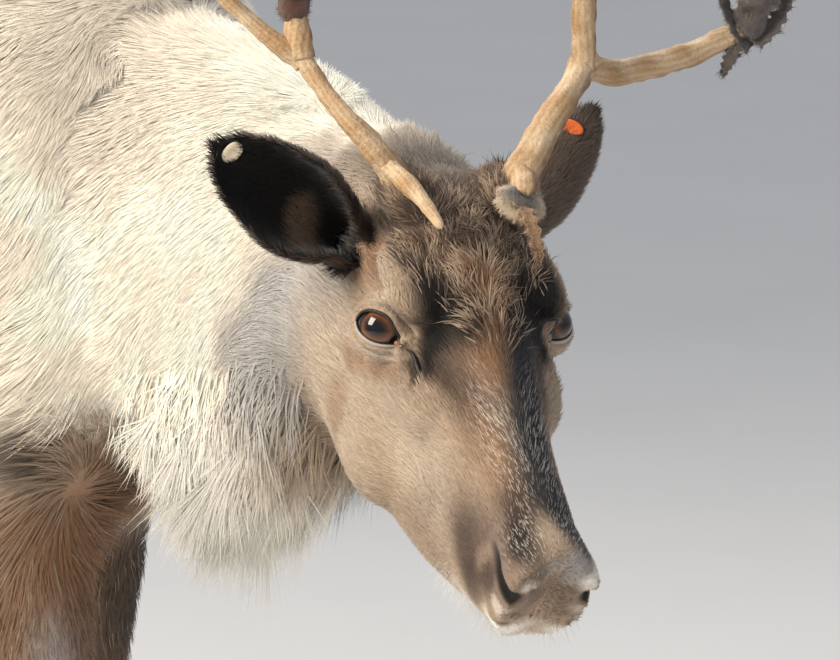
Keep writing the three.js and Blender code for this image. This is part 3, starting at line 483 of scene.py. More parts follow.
def coat_distance(points):
    """How far each point is outside the outline of the coat."""
    distance = blend(loft_distance(TRUNK, points), neck_distance(points), 70)
    pair = folded(points)
    for place, radii, seam in MUSCLES.values():
        distance = blend(distance, ellipsoid_distance(place, radii, pair), seam)
    for side, limb, step in LEGS.values():
        beside = np.nonzero((side * points[:, 1] > -20) & (points[:, 2] < 860))[0]
        near = distance[beside]
        for start, end, seam in limb["stretches"]:
            start, radius_start = joint(side, limb, step, *start)
            end, radius_end = joint(side, limb, step, *end)
            bone = stretch_distance(start, end, radius_start, radius_end, points[beside])
            near = blend(near, bone, seam)
        distance[beside] = near
    ahead = np.nonzero(points[:, 0] > 520)[0]
    distance[ahead] = blend(distance[ahead], head_distance(into_head(points[ahead])), 26)
    return distance


# Shares of each point that belong to the head, the legs and the neck


def head_share(points):
    head = into_head(points)
    return ease(head[:, 0], -150, -75) * ease(head[:, 2], -250, -185)


def leg_share(points):
    x = points[:, 0]
    beside = np.maximum(ease(x, 150, 210), ease(-x, 190, 240))
    return beside * ease(-points[:, 2], -610, -470)


def neck_share(points):
    ahead = (points - np.array(NECK_CUT["place"], float)) @ np.array(NECK_CUT["normal"])
    return ease(ahead, -60, 60) * (1 - head_share(points)) * ease(points[:, 2], 480, 600)


def coat_depth(points):
    head = head_share(points)
    leg = leg_share(points) * (1 - head)
    body = (1 - head) * (1 - leg)
    return DEPTH["body"] * body + DEPTH["head"] * head + DEPTH["leg"] * leg


# Fine forms of the head


def eye_axes(side):
    """Rearward, upward and outward directions of an eye, and its middle, in the head's frame."""
    out = unit(mirrored(EYE["out"], side))
    level = unit(np.array([0, 0, 1]) - out * out[2])
    rear = np.cross(level, out) * side
    tilt = math.radians(EYE["tilt"])
    across = rear * math.cos(tilt) + level * math.sin(tilt)
    upward = level * math.cos(tilt) - rear * math.sin(tilt)
    return across, upward, out, mirrored(EYE["place"], side)


def hump(distance, width):
    return np.exp(-((distance / width) ** 2))


# Height over the middle of the opening, half length, depth and width; a ridge has a negative depth
LID_FOLDS = [
    (18.5, 23, 1.5, 1.5),
    (23.5, 27, -1.3, 3.0),
    (-11.5, 22, 1.0, 1.3),
    (-14.8, 25, -0.8, 1.8),
    (-18.5, 27, 1.0, 1.5),
    (-24.0, 28, 0.6, 1.6),
]
# How far the skin stands over the eye's ball, by the distance from the edge of the opening
LID_REACH = ([-0.6, 0.5, 5, 9, 14], [-1.5, 0.9, 3.6, 12, 200])


def lid_heights(u):
    """Heights of both lids over the eye's middle, drawn out to a point at the front corner."""
    share = (u - EYE["middle"][0]) / EYE["half"]
    bow = np.maximum(1 - share * share, 0)
    front = share < 0
    upper = EYE["upper"] * bow ** np.where(front, 1.25, 0.42)
    lower = EYE["lower"] * bow ** np.where(front, 1.1, 0.7)
    return EYE["middle"][1] + upper, EYE["middle"][1] - lower


def lid_opening(u, v):
    """How far a place is outside the opening between the lids."""
    upper, lower = lid_heights(u)
    beyond = np.abs(u - EYE["middle"][0]) - EYE["half"]
    return np.maximum.reduce([v - upper, lower - v, beyond])


def fold_arc(u, v, height, half):
    """Distance across a fold that bows over the eye."""
    across = u - EYE["middle"][0]
    return v - EYE["middle"][1] - height * (1 - (across / (half * 1.25)) ** 2)


def with_eyes(distance, pair):
    opening, ball, depth, u, v = by_eye(pair)
    distance = blend(distance, ball - (EYE["radius"] + EYE["lid"]), 7)
    outside = ease(depth, -2, 6)
    for height, half, fold, width in LID_FOLDS:
        fading = 1 - ease(np.abs(u - EYE["middle"][0]), half * 0.6, half)
        distance = distance + fold * hump(fold_arc(u, v, height, half), width) * outside * fading
    reach = EYE["radius"] + np.interp(opening, *LID_REACH)
    return np.maximum(distance, np.minimum(ball - reach, depth - EYE["floor"]))


def from_eye(pair):
    return np.linalg.norm(pair - EYE["place"], axis=1)


def gland_distance(pair):
    return np.maximum(chain_distance(GLAND["path"], GLAND["radius"], pair), 0)


def nostril_distance(pair):
    return chain_distance(NOSTRIL["path"], NOSTRIL["radius"], pair)


def mouth_distance(pair):
    return chain_distance(MOUTH_PATH, [0] * len(MOUTH_PATH), pair)


def by_eye(pair):
    """Distance outside the lids' opening, from the ball's middle and out of the head, and place across."""
    across, upward, out, place = eye_axes(1)
    offset = pair - place
    u, v = offset @ across, offset @ upward
    return lid_opening(u, v), np.linalg.norm(offset, axis=1), offset @ out, u, v


def furrow(far, depth, width, rim, rim_at, rim_width):
    """How much a furrow sinks the skin, and its raised rim lifts it, by the distance from its middle."""
    return depth * hump(far, width) - rim * hump(far - rim_at, rim_width)


def with_muzzle(distance, pair):
    distance = distance + furrow(gland_distance(pair), **GLAND["furrow"])
    nostril = nostril_distance(pair)
    distance = distance - NOSTRIL["wing"] * hump(nostril - NOSTRIL["wing_at"], NOSTRIL["wing_width"])
    distance = -blend(-distance, nostril, NOSTRIL["seam"])
    return distance + furrow(mouth_distance(pair), **MOUTH_FURROW)


def skin_distance(points):
    """How far each point is outside the skin, under the coat."""
    distance = coat_distance(points) + coat_depth(points)
    behind = np.nonzero(points[:, 0] < TAIL["from"])[0]
    tail = chain_distance(TAIL["path"], TAIL["radius"], points[behind])
    distance[behind] = blend(distance[behind], tail, TAIL["seam"])
    head = into_head(points)
    near = np.nonzero((head[:, 0] > -80) & (head[:, 2] > -150) & (points[:, 0] > 600))[0]
    pair = folded(head[near])
    distance[near] = with_muzzle(with_eyes(distance[near], pair), pair)
    return distance


def slope_of(field, points, step):
    corners = np.array([[1, 1, 1], [1, -1, -1], [-1, 1, -1], [-1, -1, 1]], float)
    total = np.zeros_like(points)
    for corner in corners:
        total += field(points + corner * step)[:, None] * corner
    return total / (4 * step)


def settled(field, points, rounds, step=0.4, most=6.0):
    """Moves points onto the field's surface."""
    for _ in range(rounds):
        slope = slope_of(field, points, step)
        steep = np.maximum((slope * slope).sum(axis=1), 0.05)
        move = field(points) / steep
        points = points - np.clip(move, -most, most)[:, None] * slope
    return points


# Surface of a field as a mesh of four-sided faces


def field_values(field, low, high, step):
    """The field on a grid, worked out in full only near its surface."""
    fine = 4
    reach = 52
    counts = np.ceil((high - low) / (step * fine)).astype(int)
    lines = [low[i] + step * fine * np.arange(counts[i] + 1) for i in range(3)]
    coarse = np.stack(np.meshgrid(*lines, indexing="ij"), axis=-1)
    rough = field(coarse.reshape(-1, 3)).reshape(coarse.shape[:3])
    close = np.abs(rough) < reach
    cells = np.zeros(counts, bool)
    for corner in np.ndindex(2, 2, 2):
        part = tuple(slice(c, c + n) for c, n in zip(corner, counts))
        cells |= close[part]
    wanted = np.zeros(counts * fine + 1, bool)
    cell = np.argwhere(cells) * fine
    for offset in np.ndindex(fine + 1, fine + 1, fine + 1):
        wanted[tuple((cell + offset).T)] = True
    nearest = [np.rint(np.arange(n * fine + 1) / fine).astype(int) for n in counts]
    values = rough[np.ix_(*nearest)]
    at = np.argwhere(wanted)
    values[wanted] = field(low + at * step)
    return values


def surface_net(field, low, high, step):
    low = np.asarray(low, float)
    values = field_values(field, low, np.asarray(high, float), step)
    inside = values < 0
    size = np.array(values.shape) - 1
    count = np.zeros(size, int)
    for corner in np.ndindex(2, 2, 2):
        count += inside[tuple(slice(c, c + n) for c, n in zip(corner, size))]
    cells = np.argwhere((count > 0) & (count < 8))
    number = np.full(size, -1)
    number[tuple(cells.T)] = np.arange(len(cells))
    total = np.zeros((len(cells), 3))
    crossings = np.zeros(len(cells))
    for axis in range(3):
        for corner in np.ndindex(2, 2, 2):
            if corner[axis]:
                continue
            near = np.array(corner)
            far = near + np.eye(3, dtype=int)[axis]
            a = values[tuple((cells + near).T)]
            b = values[tuple((cells + far).T)]
            crossed = (a < 0) != (b < 0)
            t = np.where(crossed, a / np.where(crossed, a - b, 1), 0)
            total += (near + t[:, None] * (far - near)) * crossed[:, None]
            crossings += crossed
    points = low + (cells + total / crossings[:, None]) * step
    faces = []
    for axis in range(3):
        second, third = (axis + 1) % 3, (axis + 2) % 3
        start = [slice(None)] * 3
        end = [slice(None)] * 3
        start[axis] = slice(0, size[axis])
        end[axis] = slice(1, size[axis] + 1)
        a = inside[tuple(start)]
        b = inside[tuple(end)]
        for leaving in (True, False):
            edge = np.argwhere((a & ~b) if leaving else (~a & b))
            keep = (edge[:, second] > 0) & (edge[:, third] > 0)
            keep &= (edge[:, second] < size[second]) & (edge[:, third] < size[third])
            edge = edge[keep]
            ring = []
            for back_second, back_third in ((1, 1), (0, 1), (0, 0), (1, 0)):
                cell = edge.copy()
                cell[:, second] -= back_second
                cell[:, third] -= back_third
                ring.append(number[tuple(cell.T)])
            ring = np.stack(ring, axis=1)
            faces.append(ring if leaving else ring[:, ::-1])
    return points, np.concatenate(faces)


def evened(points, edges):
    """Draws each point towards the middle of its neighbours."""
    total = np.zeros_like(points)
    degree = np.zeros(len(points))
    for a, b in (edges.T, edges.T[::-1]):
        np.add.at(total, a, points[b])
        np.add.at(degree, a, 1)
    return points * 0.5 + total / np.maximum(degree, 1)[:, None] * 0.5


def ripple(points, size, seed):
    """A smooth random field between about -1 and 1, with waves of one size."""
    random = np.random.default_rng(seed)
    total = np.zeros(len(points))
    waves = 7
    for _ in range(waves):
        direction = unit(random.normal(size=3)) * 2 * math.pi / size * random.uniform(0.6, 1.5)
        total += np.sin(points @ direction + random.uniform(0, 2 * math.pi))
    return total / math.sqrt(waves)


def wandering(points, size, seed):
    """A smooth random vector at each point."""
    return np.stack([ripple(points, size, seed + i) for i in range(3)], axis=1)


# Colours of the coat


def linear(colour):
    colour = np.asarray(colour, float)
    return np.where(colour <= 0.04045, colour / 12.92, ((colour + 0.055) / 1.055) ** 2.4)


# Each marking: middle, radii, name of its colour, strength; later ones lie over earlier ones
BODY_MARKINGS = [
    ([0, 0, 560], [420, 150, 70], "white", 0.8),
    ([-520, 0, 780], [110, 100, 150], "white", 0.9),
    ([-60, 0, 960], [420, 120, 60], "dun", 0.55),
    ([330, 0, 960], [140, 110, 90], "dun", 0.4),
    ([425, -100, 870], [110, 90, 60], "dun", 0.28),
    ([396, -60, 556], [82, 120, 84], "brown", 0.97),
    ([372, 60, 548], [90, 80, 80], "brown", 0.92),
    ([420, -104, 612], [34, 30, 18], "tan", 0.5),
    ([407, -140, 614], [16, 34, 22], "dark", 0.75),
    ([440, -112, 606], [22, 30, 14], "brown", 0.6),
    ([478, -96, 600], [24, 40, 16], "dark", 0.7),
    ([412, -106, 581], [10, 14, 10], "dark", 0.75),
    ([436, -104, 578], [30, 20, 12], "dark", 0.6),
]
# Markings of each side of the head
HEAD_MARKINGS = [
    ([-150, -44, 8], [44, 34, 30], "mouse", 0.55),
    ([-150, 44, 8], [44, 34, 30], "mouse", 0.55),
    ([-122, 0, 34], [34, 60, 30], "mouse", 0.75),
    ([-104, 0, 40], [30, 50, 26], "slate", 0.5),
    ([-84, -72, -50], [36, 46, 50], "ash", 0.6),
    ([-112, -86, -96], [44, 66, 74], "ash", 0.85),
    ([-112, 86, -96], [44, 66, 74], "ash", 0.85),
    ([-74, -46, -180], [40, 60, 22], "tan", 0.55),
    ([-74, 46, -180], [40, 60, 22], "tan", 0.55),
]
# Markings of the head's both sides
FACE_MARKINGS = [
    ([-30, 62, -78], [60, 44, 62], "cheek", 0.9),
    ([50, 45, -60], [80, 40, 60], "tan", 0.6),
    ([60, 45, -50], [60, 30, 34], "cheek", 0.6),
    ([96, 40, -70], [56, 30, 30], "cheek", 0.5),
    ([-14, 22, 50], [56, 32, 26], "umber", 0.95),
    ([-70, 20, 55], [46, 60, 28], "umber", 0.85),
    ([6, 0, 50], [60, 34, 26], "umber", 1.0),
    ([66, 24, 8], [50, 14, 22], "umber", 0.85),
    ([118, 20, -6], [60, 12, 16], "brown", 0.7),
    ([76, 12, 16], [50, 12, 16], "mouse", 0.6),
    ([-44, 52, 14], [28, 12, 15], "brown", 0.8),
    ([-76, 51, -5], [26, 14, 20], "brown", 0.7),
    ([-30, 58, -97], [15, 14, 34], "brown", 0.55),
    ([-22, 58, 18], [24, 12, 12], "cheek", 0.75),
    ([12, 52, 8], [16, 8, 9], "mouse", 0.5),
    ([0, 60, -18], [26, 14, 9], "pale", 0.4),
    ([-31, 58, -54], [17, 10, 10], "brown", 0.6),
    ([-15, 57, -45], [17, 10, 10], "brown", 0.7),
    ([2, 56, -32], [17, 10, 10], "brown", 0.7),
    ([16, 54, -22], [12, 9, 9], "brown", 0.6),
    ([22, 48, -12], [9, 6, 6], "umber", 0.6),
    ([-40, 62, -16], [12, 12, 16], "brown", 0.35),
    ([50, 0, 30], [56, 24, 30], "brown", 0.85),
    ([-62, 44, 33], [24, 10, 13], "umber", 0.9),
    ([-28, 46, 35], [24, 9, 12], "dark", 0.75),
    ([2, 43, 34], [20, 12, 14], "dark", 0.95),
    ([16, 36, 27], [18, 15, 15], "dark", 1.0),
    ([27, 20, 27], [28, 17, 17], "dark", 0.95),
    ([28, 33, 12], [18, 14, 15], "dark", 1.0),
    ([38, 35, 1], [14, 11, 10], "dark", 0.95),
    ([52, 30, 4], [16, 8, 9], "umber", 0.7),
    ([150, 31, -50], [42, 22, 30], "mouse", 0.9),
    ([182, 24, -40], [40, 26, 32], "mouse", 0.95),
    ([142, 31, -60], [22, 12, 22], "umber", 0.75),
    ([160, 31, -70], [16, 9, 16], "umber", 0.75),
    ([178, 30, -56], [11, 9, 14], "umber", 0.75),
    ([163, 30, -50], [6, 9, 12], "tan", 0.4),
    ([166, 16, -8], [36, 18, 18], "umber", 0.95),
    ([183, 18, -15], [25, 17, 13], "dark", 0.85),
    ([216, 2, -18], [15, 20, 12], "ash", 0.7),
    ([211, 12, -27], [10, 12, 10], "ash", 0.6),
    ([220, 8, -32], [12, 13, 8], "pale", 0.7),
    ([196, 24, -31], [24, 6, 6], "pale", 0.95),
    ([212, 22, -33], [10, 7, 7], "white", 0.7),
    ([213, 16, -57], [9, 10, 6], "white", 0.85),
    ([200, 26, -60], [9, 7, 6], "pale", 0.7),
    ([196, 24, -82], [24, 18, 7], "white", 0.9),
    ([170, 0, -102], [46, 42, 16], "white", 0.95),
    ([204, 0, -80], [20, 24, 8], "white", 0.85),
    ([213, 3, -60], [9, 13, 5], "umber", 0.5),
]
# Painted shade on the left slope of the bridge and the brow, the side turned from the light, laid over the
# dark grey hair of the bridge
LEFT_SHADE_MARKINGS = [
    ([70, 12, 18], [54, 16, 24], "slate", 1.0),
    ([116, 6, 6], [52, 17, 22], "slate", 1.0),
    ([165, 9, -2], [36, 15, 22], "slate", 0.95),
    ([10, 30, 38], [60, 28, 30], "dark", 0.55),
]


def over(colours, mask, colour):
    return colours * (1 - mask[:, None]) + np.asarray(colour) * mask[:, None]


def spot(points, place, radii):
    reach = np.linalg.norm((points - np.asarray(place, float)) / np.asarray(radii, float), axis=1)
    return 1 - ease(reach, 0.4, 1.35)


def coat_colour(points):
    """The coat's colour at each point, in linear light, with painted shadow on the upper left foreleg and
    painted shade on the left slope of the bridge and the brow.
    """
    tones = bpy.context.scene.reindeer_coat.tones()
    head = into_head(points)
    wander = wandering(points, 60, SEED)
    x, y, z = points.T
    on_head = head_share(points)
    on_leg = leg_share(points) * (1 - on_head)
    # Painted shadow on the upper left foreleg, under the brisket and turned from the light
    inner = ease(y, 40, 110) * ease(x, 150, 240) * ease(z, 380, 440)
    streak = hump(x - 396 - 0.05 * (z - 480), 16) * hump(y + 118, 26)
    regions = (
        (neck_share(points), "cream"),
        (ease(on_leg, 0.2, 0.9), "leg"),
        (on_leg * ease(-z, -420, -180) * 0.6, "umber"),
        (on_leg * ease(-z, -104, -72), "pale"),
        (on_leg * ease(x, 320, 400) * ease(z, 380, 470) * 0.8, "brown"),
        # painted shadow on the upper left foreleg
        (on_leg * inner * 0.75, "dark"),
        (on_leg * streak * 0.85, "ash"),
        (on_head, "tan"),
    )
    colours = np.tile(tones["flank"], (len(points), 1))
    for mask, name in regions:
        colours = over(colours, mask, tones[name])
    layers = (
        (points + wander * 7, BODY_MARKINGS, 1),
        (head + wander * 5, HEAD_MARKINGS, 1),
        (folded(head) + wander * 3.5, FACE_MARKINGS, on_head),
        (head + wander * 3.5, LEFT_SHADE_MARKINGS, on_head),
    )
    for places, markings, share in layers:
        for place, radii, name, strength in markings:
            colours = over(colours, spot(places, place, radii) * strength * share, tones[name])
    patch = 1 + 0.06 * ripple(points, 120, SEED + 7) + 0.05 * ripple(points, 30, SEED + 8)
    return np.clip(colours * patch[:, None], 0.004, 0.95)


# The way the coat lies

WHORL = {"place": [412, -106, 581], "radius": 62}


def coat_lie(points, normals):
    head = into_head(points)
    on_head = head_share(points)[:, None]
    on_neck = neck_share(points)[:, None]
    on_leg = (leg_share(points) * (1 - on_head[:, 0]))[:, None]
    lie = np.tile(np.array([-0.88, 0, -0.46]), (len(points), 1))
    tangent = unit(neck_tangent(neck_place(points)))
    lie = lie * (1 - on_neck) + (tangent * -0.66 + np.array([0, 0, -0.75])) * on_neck
    lie = lie * (1 - on_leg) + np.array([-0.12, 0, -0.99]) * on_leg
    sides = np.where(head[:, 1:2] < 0, [[1, -1, 1]], [[1, 1, 1]])
    back = sides * [-1, 0.22, 0.12]
    eye = head - sides * EYE["place"]
    round_eye = hump(np.linalg.norm(eye, axis=1), 34)[:, None]
    back = back + unit(eye) * round_eye * 1.3
    forehead = spot(head, [-40, 0, 55], [60, 50, 30])[:, None]
    back = back + np.array([0.2, 0, 0.5]) * forehead
    lie = lie * (1 - on_head) + (back @ HEAD_TURN.T) * on_head
    offset = points - np.array(WHORL["place"], float)
    swirl = hump(np.linalg.norm(offset, axis=1), WHORL["radius"])[:, None]
    spin = np.cross(normals, unit(offset)) * 0.7 + unit(offset)
    lie = lie * (1 - swirl) + spin * swirl
    broad = wandering(points, 46, SEED + 20) * 0.16
    fine = (forehead + 0.12) * wandering(points, 14, SEED + 30) * 0.45
    return laid(lie + broad + fine, normals)


def laid(lies, normals, share=1.0):
    """Directions pressed down onto the skin, in full or by a share."""
    outward = (lies * normals).sum(axis=1) * share
    return unit(lies - normals * outward[:, None])


# Meshes


def new_object(name, points, faces, material):
    """One piece from points in millimetres and faces, riding on the body."""
    mesh = bpy.data.meshes.new(name)
    points = in_scene(points)
    faces = [np.asarray(part) for part in (faces if isinstance(faces, list) else [faces])]
    loops = np.concatenate([part.reshape(-1) for part in faces]).astype(np.int32)
    sizes = np.concatenate([np.full(len(part), part.shape[1]) for part in faces])
    mesh.vertices.add(len(points))
    mesh.vertices.foreach_set("co", points.astype(np.float32).ravel())
    mesh.loops.add(len(loops))
    mesh.loops.foreach_set("vertex_index", loops)
    mesh.polygons.add(len(sizes))
    mesh.polygons.foreach_set("loop_start", np.concatenate([[0], np.cumsum(sizes)[:-1]]).astype(np.int32))
    mesh.polygons.foreach_set("use_smooth", np.ones(len(sizes), bool))
    mesh.update(calc_edges=True)
    mesh.validate()
    mesh.materials.append(material)
    piece = bpy.data.objects.new(name, mesh)
    bpy.context.scene.collection.objects.link(piece)
    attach(piece, "root")
    return piece


def set_colours(piece, colours):
    layer = piece.data.color_attributes.new("tone", "FLOAT_COLOR", "POINT")
    filled = np.concatenate([colours, np.ones((len(colours), 1))], axis=1)
    layer.data.foreach_set("color", filled.astype(np.float32).ravel())


def values_of(items, name, width, kind=np.float32):
    """One property of many items of a mesh, as the rows of an array."""
    values = np.empty(len(items) * width, kind)
    items.foreach_get(name, values)
    return values.reshape(-1, width)


def points_of(mesh):
    return values_of(mesh.vertices, "co", 3).astype(float) * 1000 - SHIFT


def set_points(mesh, points):
    mesh.vertices.foreach_set("co", in_scene(points).astype(np.float32).ravel())
    mesh.update()


def unwrap(piece):
    """Unwraps a piece by its own shape, into the OFBake map."""
    piece.data.uv_layers.new(name="OFBake")
    bpy.ops.object.select_all(action="DESELECT")
    bpy.context.view_layer.objects.active = piece
    piece.select_set(True)
    bpy.ops.object.mode_set(mode="EDIT")
    bpy.ops.mesh.select_all(action="SELECT")
    bpy.ops.uv.smart_project(angle_limit=math.radians(70), island_margin=0.001)
    bpy.ops.object.mode_set(mode="OBJECT")
    piece.select_set(False)


def finer(mesh, near):
    """Splits the edges between the points picked by near."""
    shape = bmesh.new()
    shape.from_mesh(mesh)
    picked = near(points_of(mesh))
    shape.verts.ensure_lookup_table()
    edges = [edge for edge in shape.edges if picked[edge.verts[0].index] and picked[edge.verts[1].index]]
    bmesh.ops.subdivide_edges(shape, edges=edges, cuts=1, use_grid_fill=True)
    shape.to_mesh(mesh)
    shape.free()


# Tubes and sheets


def through(path, values, count, start=0.0, end=1.0):
    """Even places along a smooth curve through a path, and the values there."""
    path = np.asarray(path, float)
    values = np.asarray(values, float)
    lengths = np.linalg.norm(np.diff(path, axis=0), axis=1)
    places = np.concatenate([[0], np.cumsum(lengths)]) / lengths.sum()
    slope = np.gradient(path, places, axis=0)
    steep = np.gradient(values, places)
    t = np.linspace(start, end, count)
    i = np.clip(np.searchsorted(places, t) - 1, 0, len(path) - 2)
    width = places[i + 1] - places[i]
    share = (t - places[i]) / width

    def curve(data, tangent):
        s = share if data.ndim == 1 else share[:, None]
        w = width if data.ndim == 1 else width[:, None]
        first = (1 + 2 * s) * (1 - s) ** 2 * data[i] + s * (1 - s) ** 2 * w * tangent[i]
        return first + s * s * (3 - 2 * s) * data[i + 1] + s * s * (s - 1) * w * tangent[i + 1]

    return curve(path, slope), curve(values, steep), t


def rings_about(place, first, second, along_first, along_second):
    """Rings of points about a place or each place of a path, from their reach in two directions."""
    return (
        place[..., None, :]
        + first[..., None, :] * along_first[:, :, None]
        + second[..., None, :] * along_second[:, :, None]
    )


def full_turn(sides):
    return np.linspace(0, 2 * math.pi, sides, endpoint=False)


def carried_frames(points, hint):
    """Two directions across a path at each point, turned as little as may be."""
    ahead = unit(np.gradient(points, axis=0))
    across = []
    side = np.asarray(hint, float)
    for direction in ahead:
        side = unit(side - direction * (side @ direction))
        across.append(side)
    across = np.array(across)
    return across, np.cross(ahead, across)


def grid_faces(rows, columns, closed):
    row = np.arange(rows - 1)[:, None] * columns
    last = columns if closed else columns - 1
    column = np.arange(last)[None, :]
    following = (column + 1) % columns
    after = row + columns
    quads = np.stack([row + column, row + following, after + following, after + column], axis=-1)
    return quads.reshape(-1, 4)


class Shape:
    """Points, faces and colours that are gathered into one piece."""

    def __init__(self):
        self.points = []
        self.faces = {3: [], 4: []}
        self.colours = []
        self.count = 0

    def add(self, points, faces, colours):
        self.points.append(points)
        for part in faces:
            self.faces[part.shape[1]].append(part + self.count)
        self.colours.append(np.broadcast_to(colours, (len(points), 3)))
        self.count += len(points)

    def tube(self, rings, colours):
        """Closed rings joined end to end, with a fan over each end."""
        rows, columns = rings.shape[:2]
        middles = np.stack([rings[0].mean(axis=0), rings[-1].mean(axis=0)])
        points = np.concatenate([rings.reshape(-1, 3), middles])
        colours = np.broadcast_to(colours, rings.shape)
        ends = np.stack([colours[0].mean(axis=0), colours[-1].mean(axis=0)])
        column = np.arange(columns)
        after = (column + 1) % columns
        last = (rows - 1) * columns
        first_cap = np.stack([after, column, np.full(columns, rows * columns)], axis=1)
        last_cap = np.stack([last + column, last + after, np.full(columns, rows * columns + 1)], axis=1)
        faces = [grid_faces(rows, columns, True), first_cap, last_cap]
        self.add(points, faces, np.concatenate([colours.reshape(-1, 3), ends]))

    def piece(self, name, material):
        faces = [np.concatenate(parts) for parts in self.faces.values() if parts]
        piece = new_object(name, np.concatenate(self.points), faces, material)
        set_colours(piece, np.concatenate(self.colours))
        return piece


# Materials


class Wire:
    """A value in a material; sums of wires add the nodes that work them out."""

    def __init__(self, finish, socket):
        self.finish = finish
        self.socket = socket

    def joined(self, operation, first, second):
        return self.finish.node("Math", {"operation": operation}, {0: first, 1: second})

    def __add__(self, other):
        return self.joined("ADD", self, other)

    def __radd__(self, other):
        return self.joined("ADD", other, self)

    def __sub__(self, other):
        return self.joined("SUBTRACT", self, other)

    def __rsub__(self, other):
        return self.joined("SUBTRACT", other, self)

    def __mul__(self, other):
        return self.joined("MULTIPLY", self, other)

    def __rmul__(self, other):
        return self.joined("MULTIPLY", other, self)

    def __truediv__(self, other):
        return self.joined("DIVIDE", self, other)

    def __pow__(self, other):
        return self.joined("POWER", self, other)


class Finish:
    """A material and the nodes that make its look."""

    def __init__(self, name, **constants):
        self.material = bpy.data.materials.new(name)
        self.material.use_nodes = True
        self.tree = self.material.node_tree
        self.shader = self.tree.nodes["Principled BSDF"]
        for name, value in constants.items():
            socket = name.replace("_", " ").title().replace("Ior", "IOR")
            self.shader.inputs[socket].default_value = value

    def node(self, kind, settings=None, inputs=None, output=0):
        made = self.tree.nodes.new("ShaderNode" + kind)
        for key, value in (settings or {}).items():
            if key == "stops":
                self.set_stops(made.color_ramp, value)
            else:
                setattr(made, key, value)
        for key, value in (inputs or {}).items():
            self.feed(made.inputs[key], value)
        return Wire(self, made.outputs[output])

    def set_stops(self, ramp, stops):
        while len(ramp.elements) < len(stops):
            ramp.elements.new(0.5)
        for element, (place, colour) in zip(ramp.elements, stops):
            element.position = place
            element.color = (*colour, 1)

    def feed(self, socket, value):
        if isinstance(value, Wire):
            self.tree.links.new(value.socket, socket)
        else:
            socket.default_value = value

    def set(self, name, value):
        self.feed(self.shader.inputs[name], value)

    def place(self):
        return self.node("TexCoord", output="Object")

    def noise(self, scale, detail=3.0, vector=None, roughness=0.55):
        inputs = {"Scale": scale, "Detail": detail, "Roughness": roughness}
        return self.node("TexNoise", {}, {"Vector": vector or self.place(), **inputs})

    def tone(self):
        return self.node("Attribute", {"attribute_name": "tone"}, output="Color")

    def mixed(self, factor, first, second, kind="MIX"):
        settings = {"data_type": "RGBA", "blend_type": kind, "clamp_factor": True}
        return self.node("Mix", settings, {0: factor, 6: first, 7: second}, output=2)

    def shaded(self, shade, colour=None):
        """A colour, or else the piece's own tone, times a grey."""
        colour = colour or self.tone()
        grey = self.node("CombineColor", {}, {0: shade, 1: shade, 2: shade})
        return self.mixed(1.0, colour, grey, "MULTIPLY")

    def stretched(self, scale):
        return self.node("VectorMath", {"operation": "MULTIPLY"}, {0: self.place(), 1: scale})

    def raised(self, height, distance, strength=1.0):
        bump = self.node("Bump", {}, {"Height": height, "Distance": distance, "Strength": strength})
        self.set("Normal", bump)


def coat_finish():
    finish = Finish("fur", roughness=0.72, specular_ior_level=0.22, sheen_weight=0.12, sheen_roughness=0.5)
    fine = finish.noise(900, 2.0)
    broad = finish.noise(90, 3.0)
    finish.set("Base Color", finish.shaded(0.74 + 0.34 * fine + 0.18 * broad))
    finish.set("Roughness", 0.62 + 0.2 * fine)
    finish.raised(fine + 0.6 * broad, 0.0006, 0.6)
    return finish.material


def lid_finish():
    finish = Finish("lid_skin", roughness=0.4, specular_ior_level=0.5)
    fine = finish.noise(1800, 3.0)
    finish.set("Base Color", finish.shaded(0.7 + 0.6 * fine))
    finish.set("Roughness", 0.25 + 0.35 * fine)
    finish.raised(fine, 0.0003)
    return finish.material


def bone_finish():
    settings = bpy.context.scene.reindeer_antlers
    finish = Finish("rubbed_bone", roughness=0.5, specular_ior_level=0.4)
    grain = finish.noise(380, 5.0)
    pits = finish.noise(700, 3.0, roughness=0.7)
    crust = finish.node("ValToRGB", {"stops": [(0.5, (0, 0, 0)), (0.68, (1, 1, 1))]}, {"Fac": grain})
    bone = finish.shaded(0.72 + 0.5 * pits)
    finish.set("Base Color", finish.mixed(crust * 0.25, bone, (*linear(settings.stain_and_shade), 1)))
    finish.set("Roughness", 0.38 + 0.4 * pits)
    finish.raised(pits * 0.5 + grain, 0.0016, 0.8)
    return finish.material


def velvet_finish():
    finish = Finish("shed_velvet", roughness=0.9, specular_ior_level=0.1, sheen_weight=0.4)
    fine = finish.noise(1200, 4.0, roughness=0.7)
    broad = finish.noise(220, 3.0)
    finish.set("Base Color", finish.shaded(0.4 + 0.6 * fine + 0.6 * broad))
    finish.raised(fine + broad, 0.0015)
    return finish.material


def hoof_finish():
    finish = Finish("hoof_horn", roughness=0.42, specular_ior_level=0.5)
    rings = finish.noise(1.0, 3.0, finish.stretched((30, 30, 420)))
    fine = finish.noise(800, 3.0)
    finish.set("Base Color", finish.shaded(0.6 + 0.5 * rings + 0.3 * fine))
    finish.set("Roughness", 0.3 + 0.3 * fine)
    finish.raised(rings + fine * 0.4, 0.0008)
    return finish.material


def tag_finish():
    finish = Finish("tag_plastic", roughness=0.35, specular_ior_level=0.5)
    scuffs = finish.noise(500, 5.0, roughness=0.7)
    finish.set("Base Color", finish.shaded(0.8 + 0.3 * finish.noise(120, 3.0)))
    finish.set("Roughness", 0.2 + 0.4 * scuffs)
    finish.raised(scuffs, 0.0002)
    return finish.material


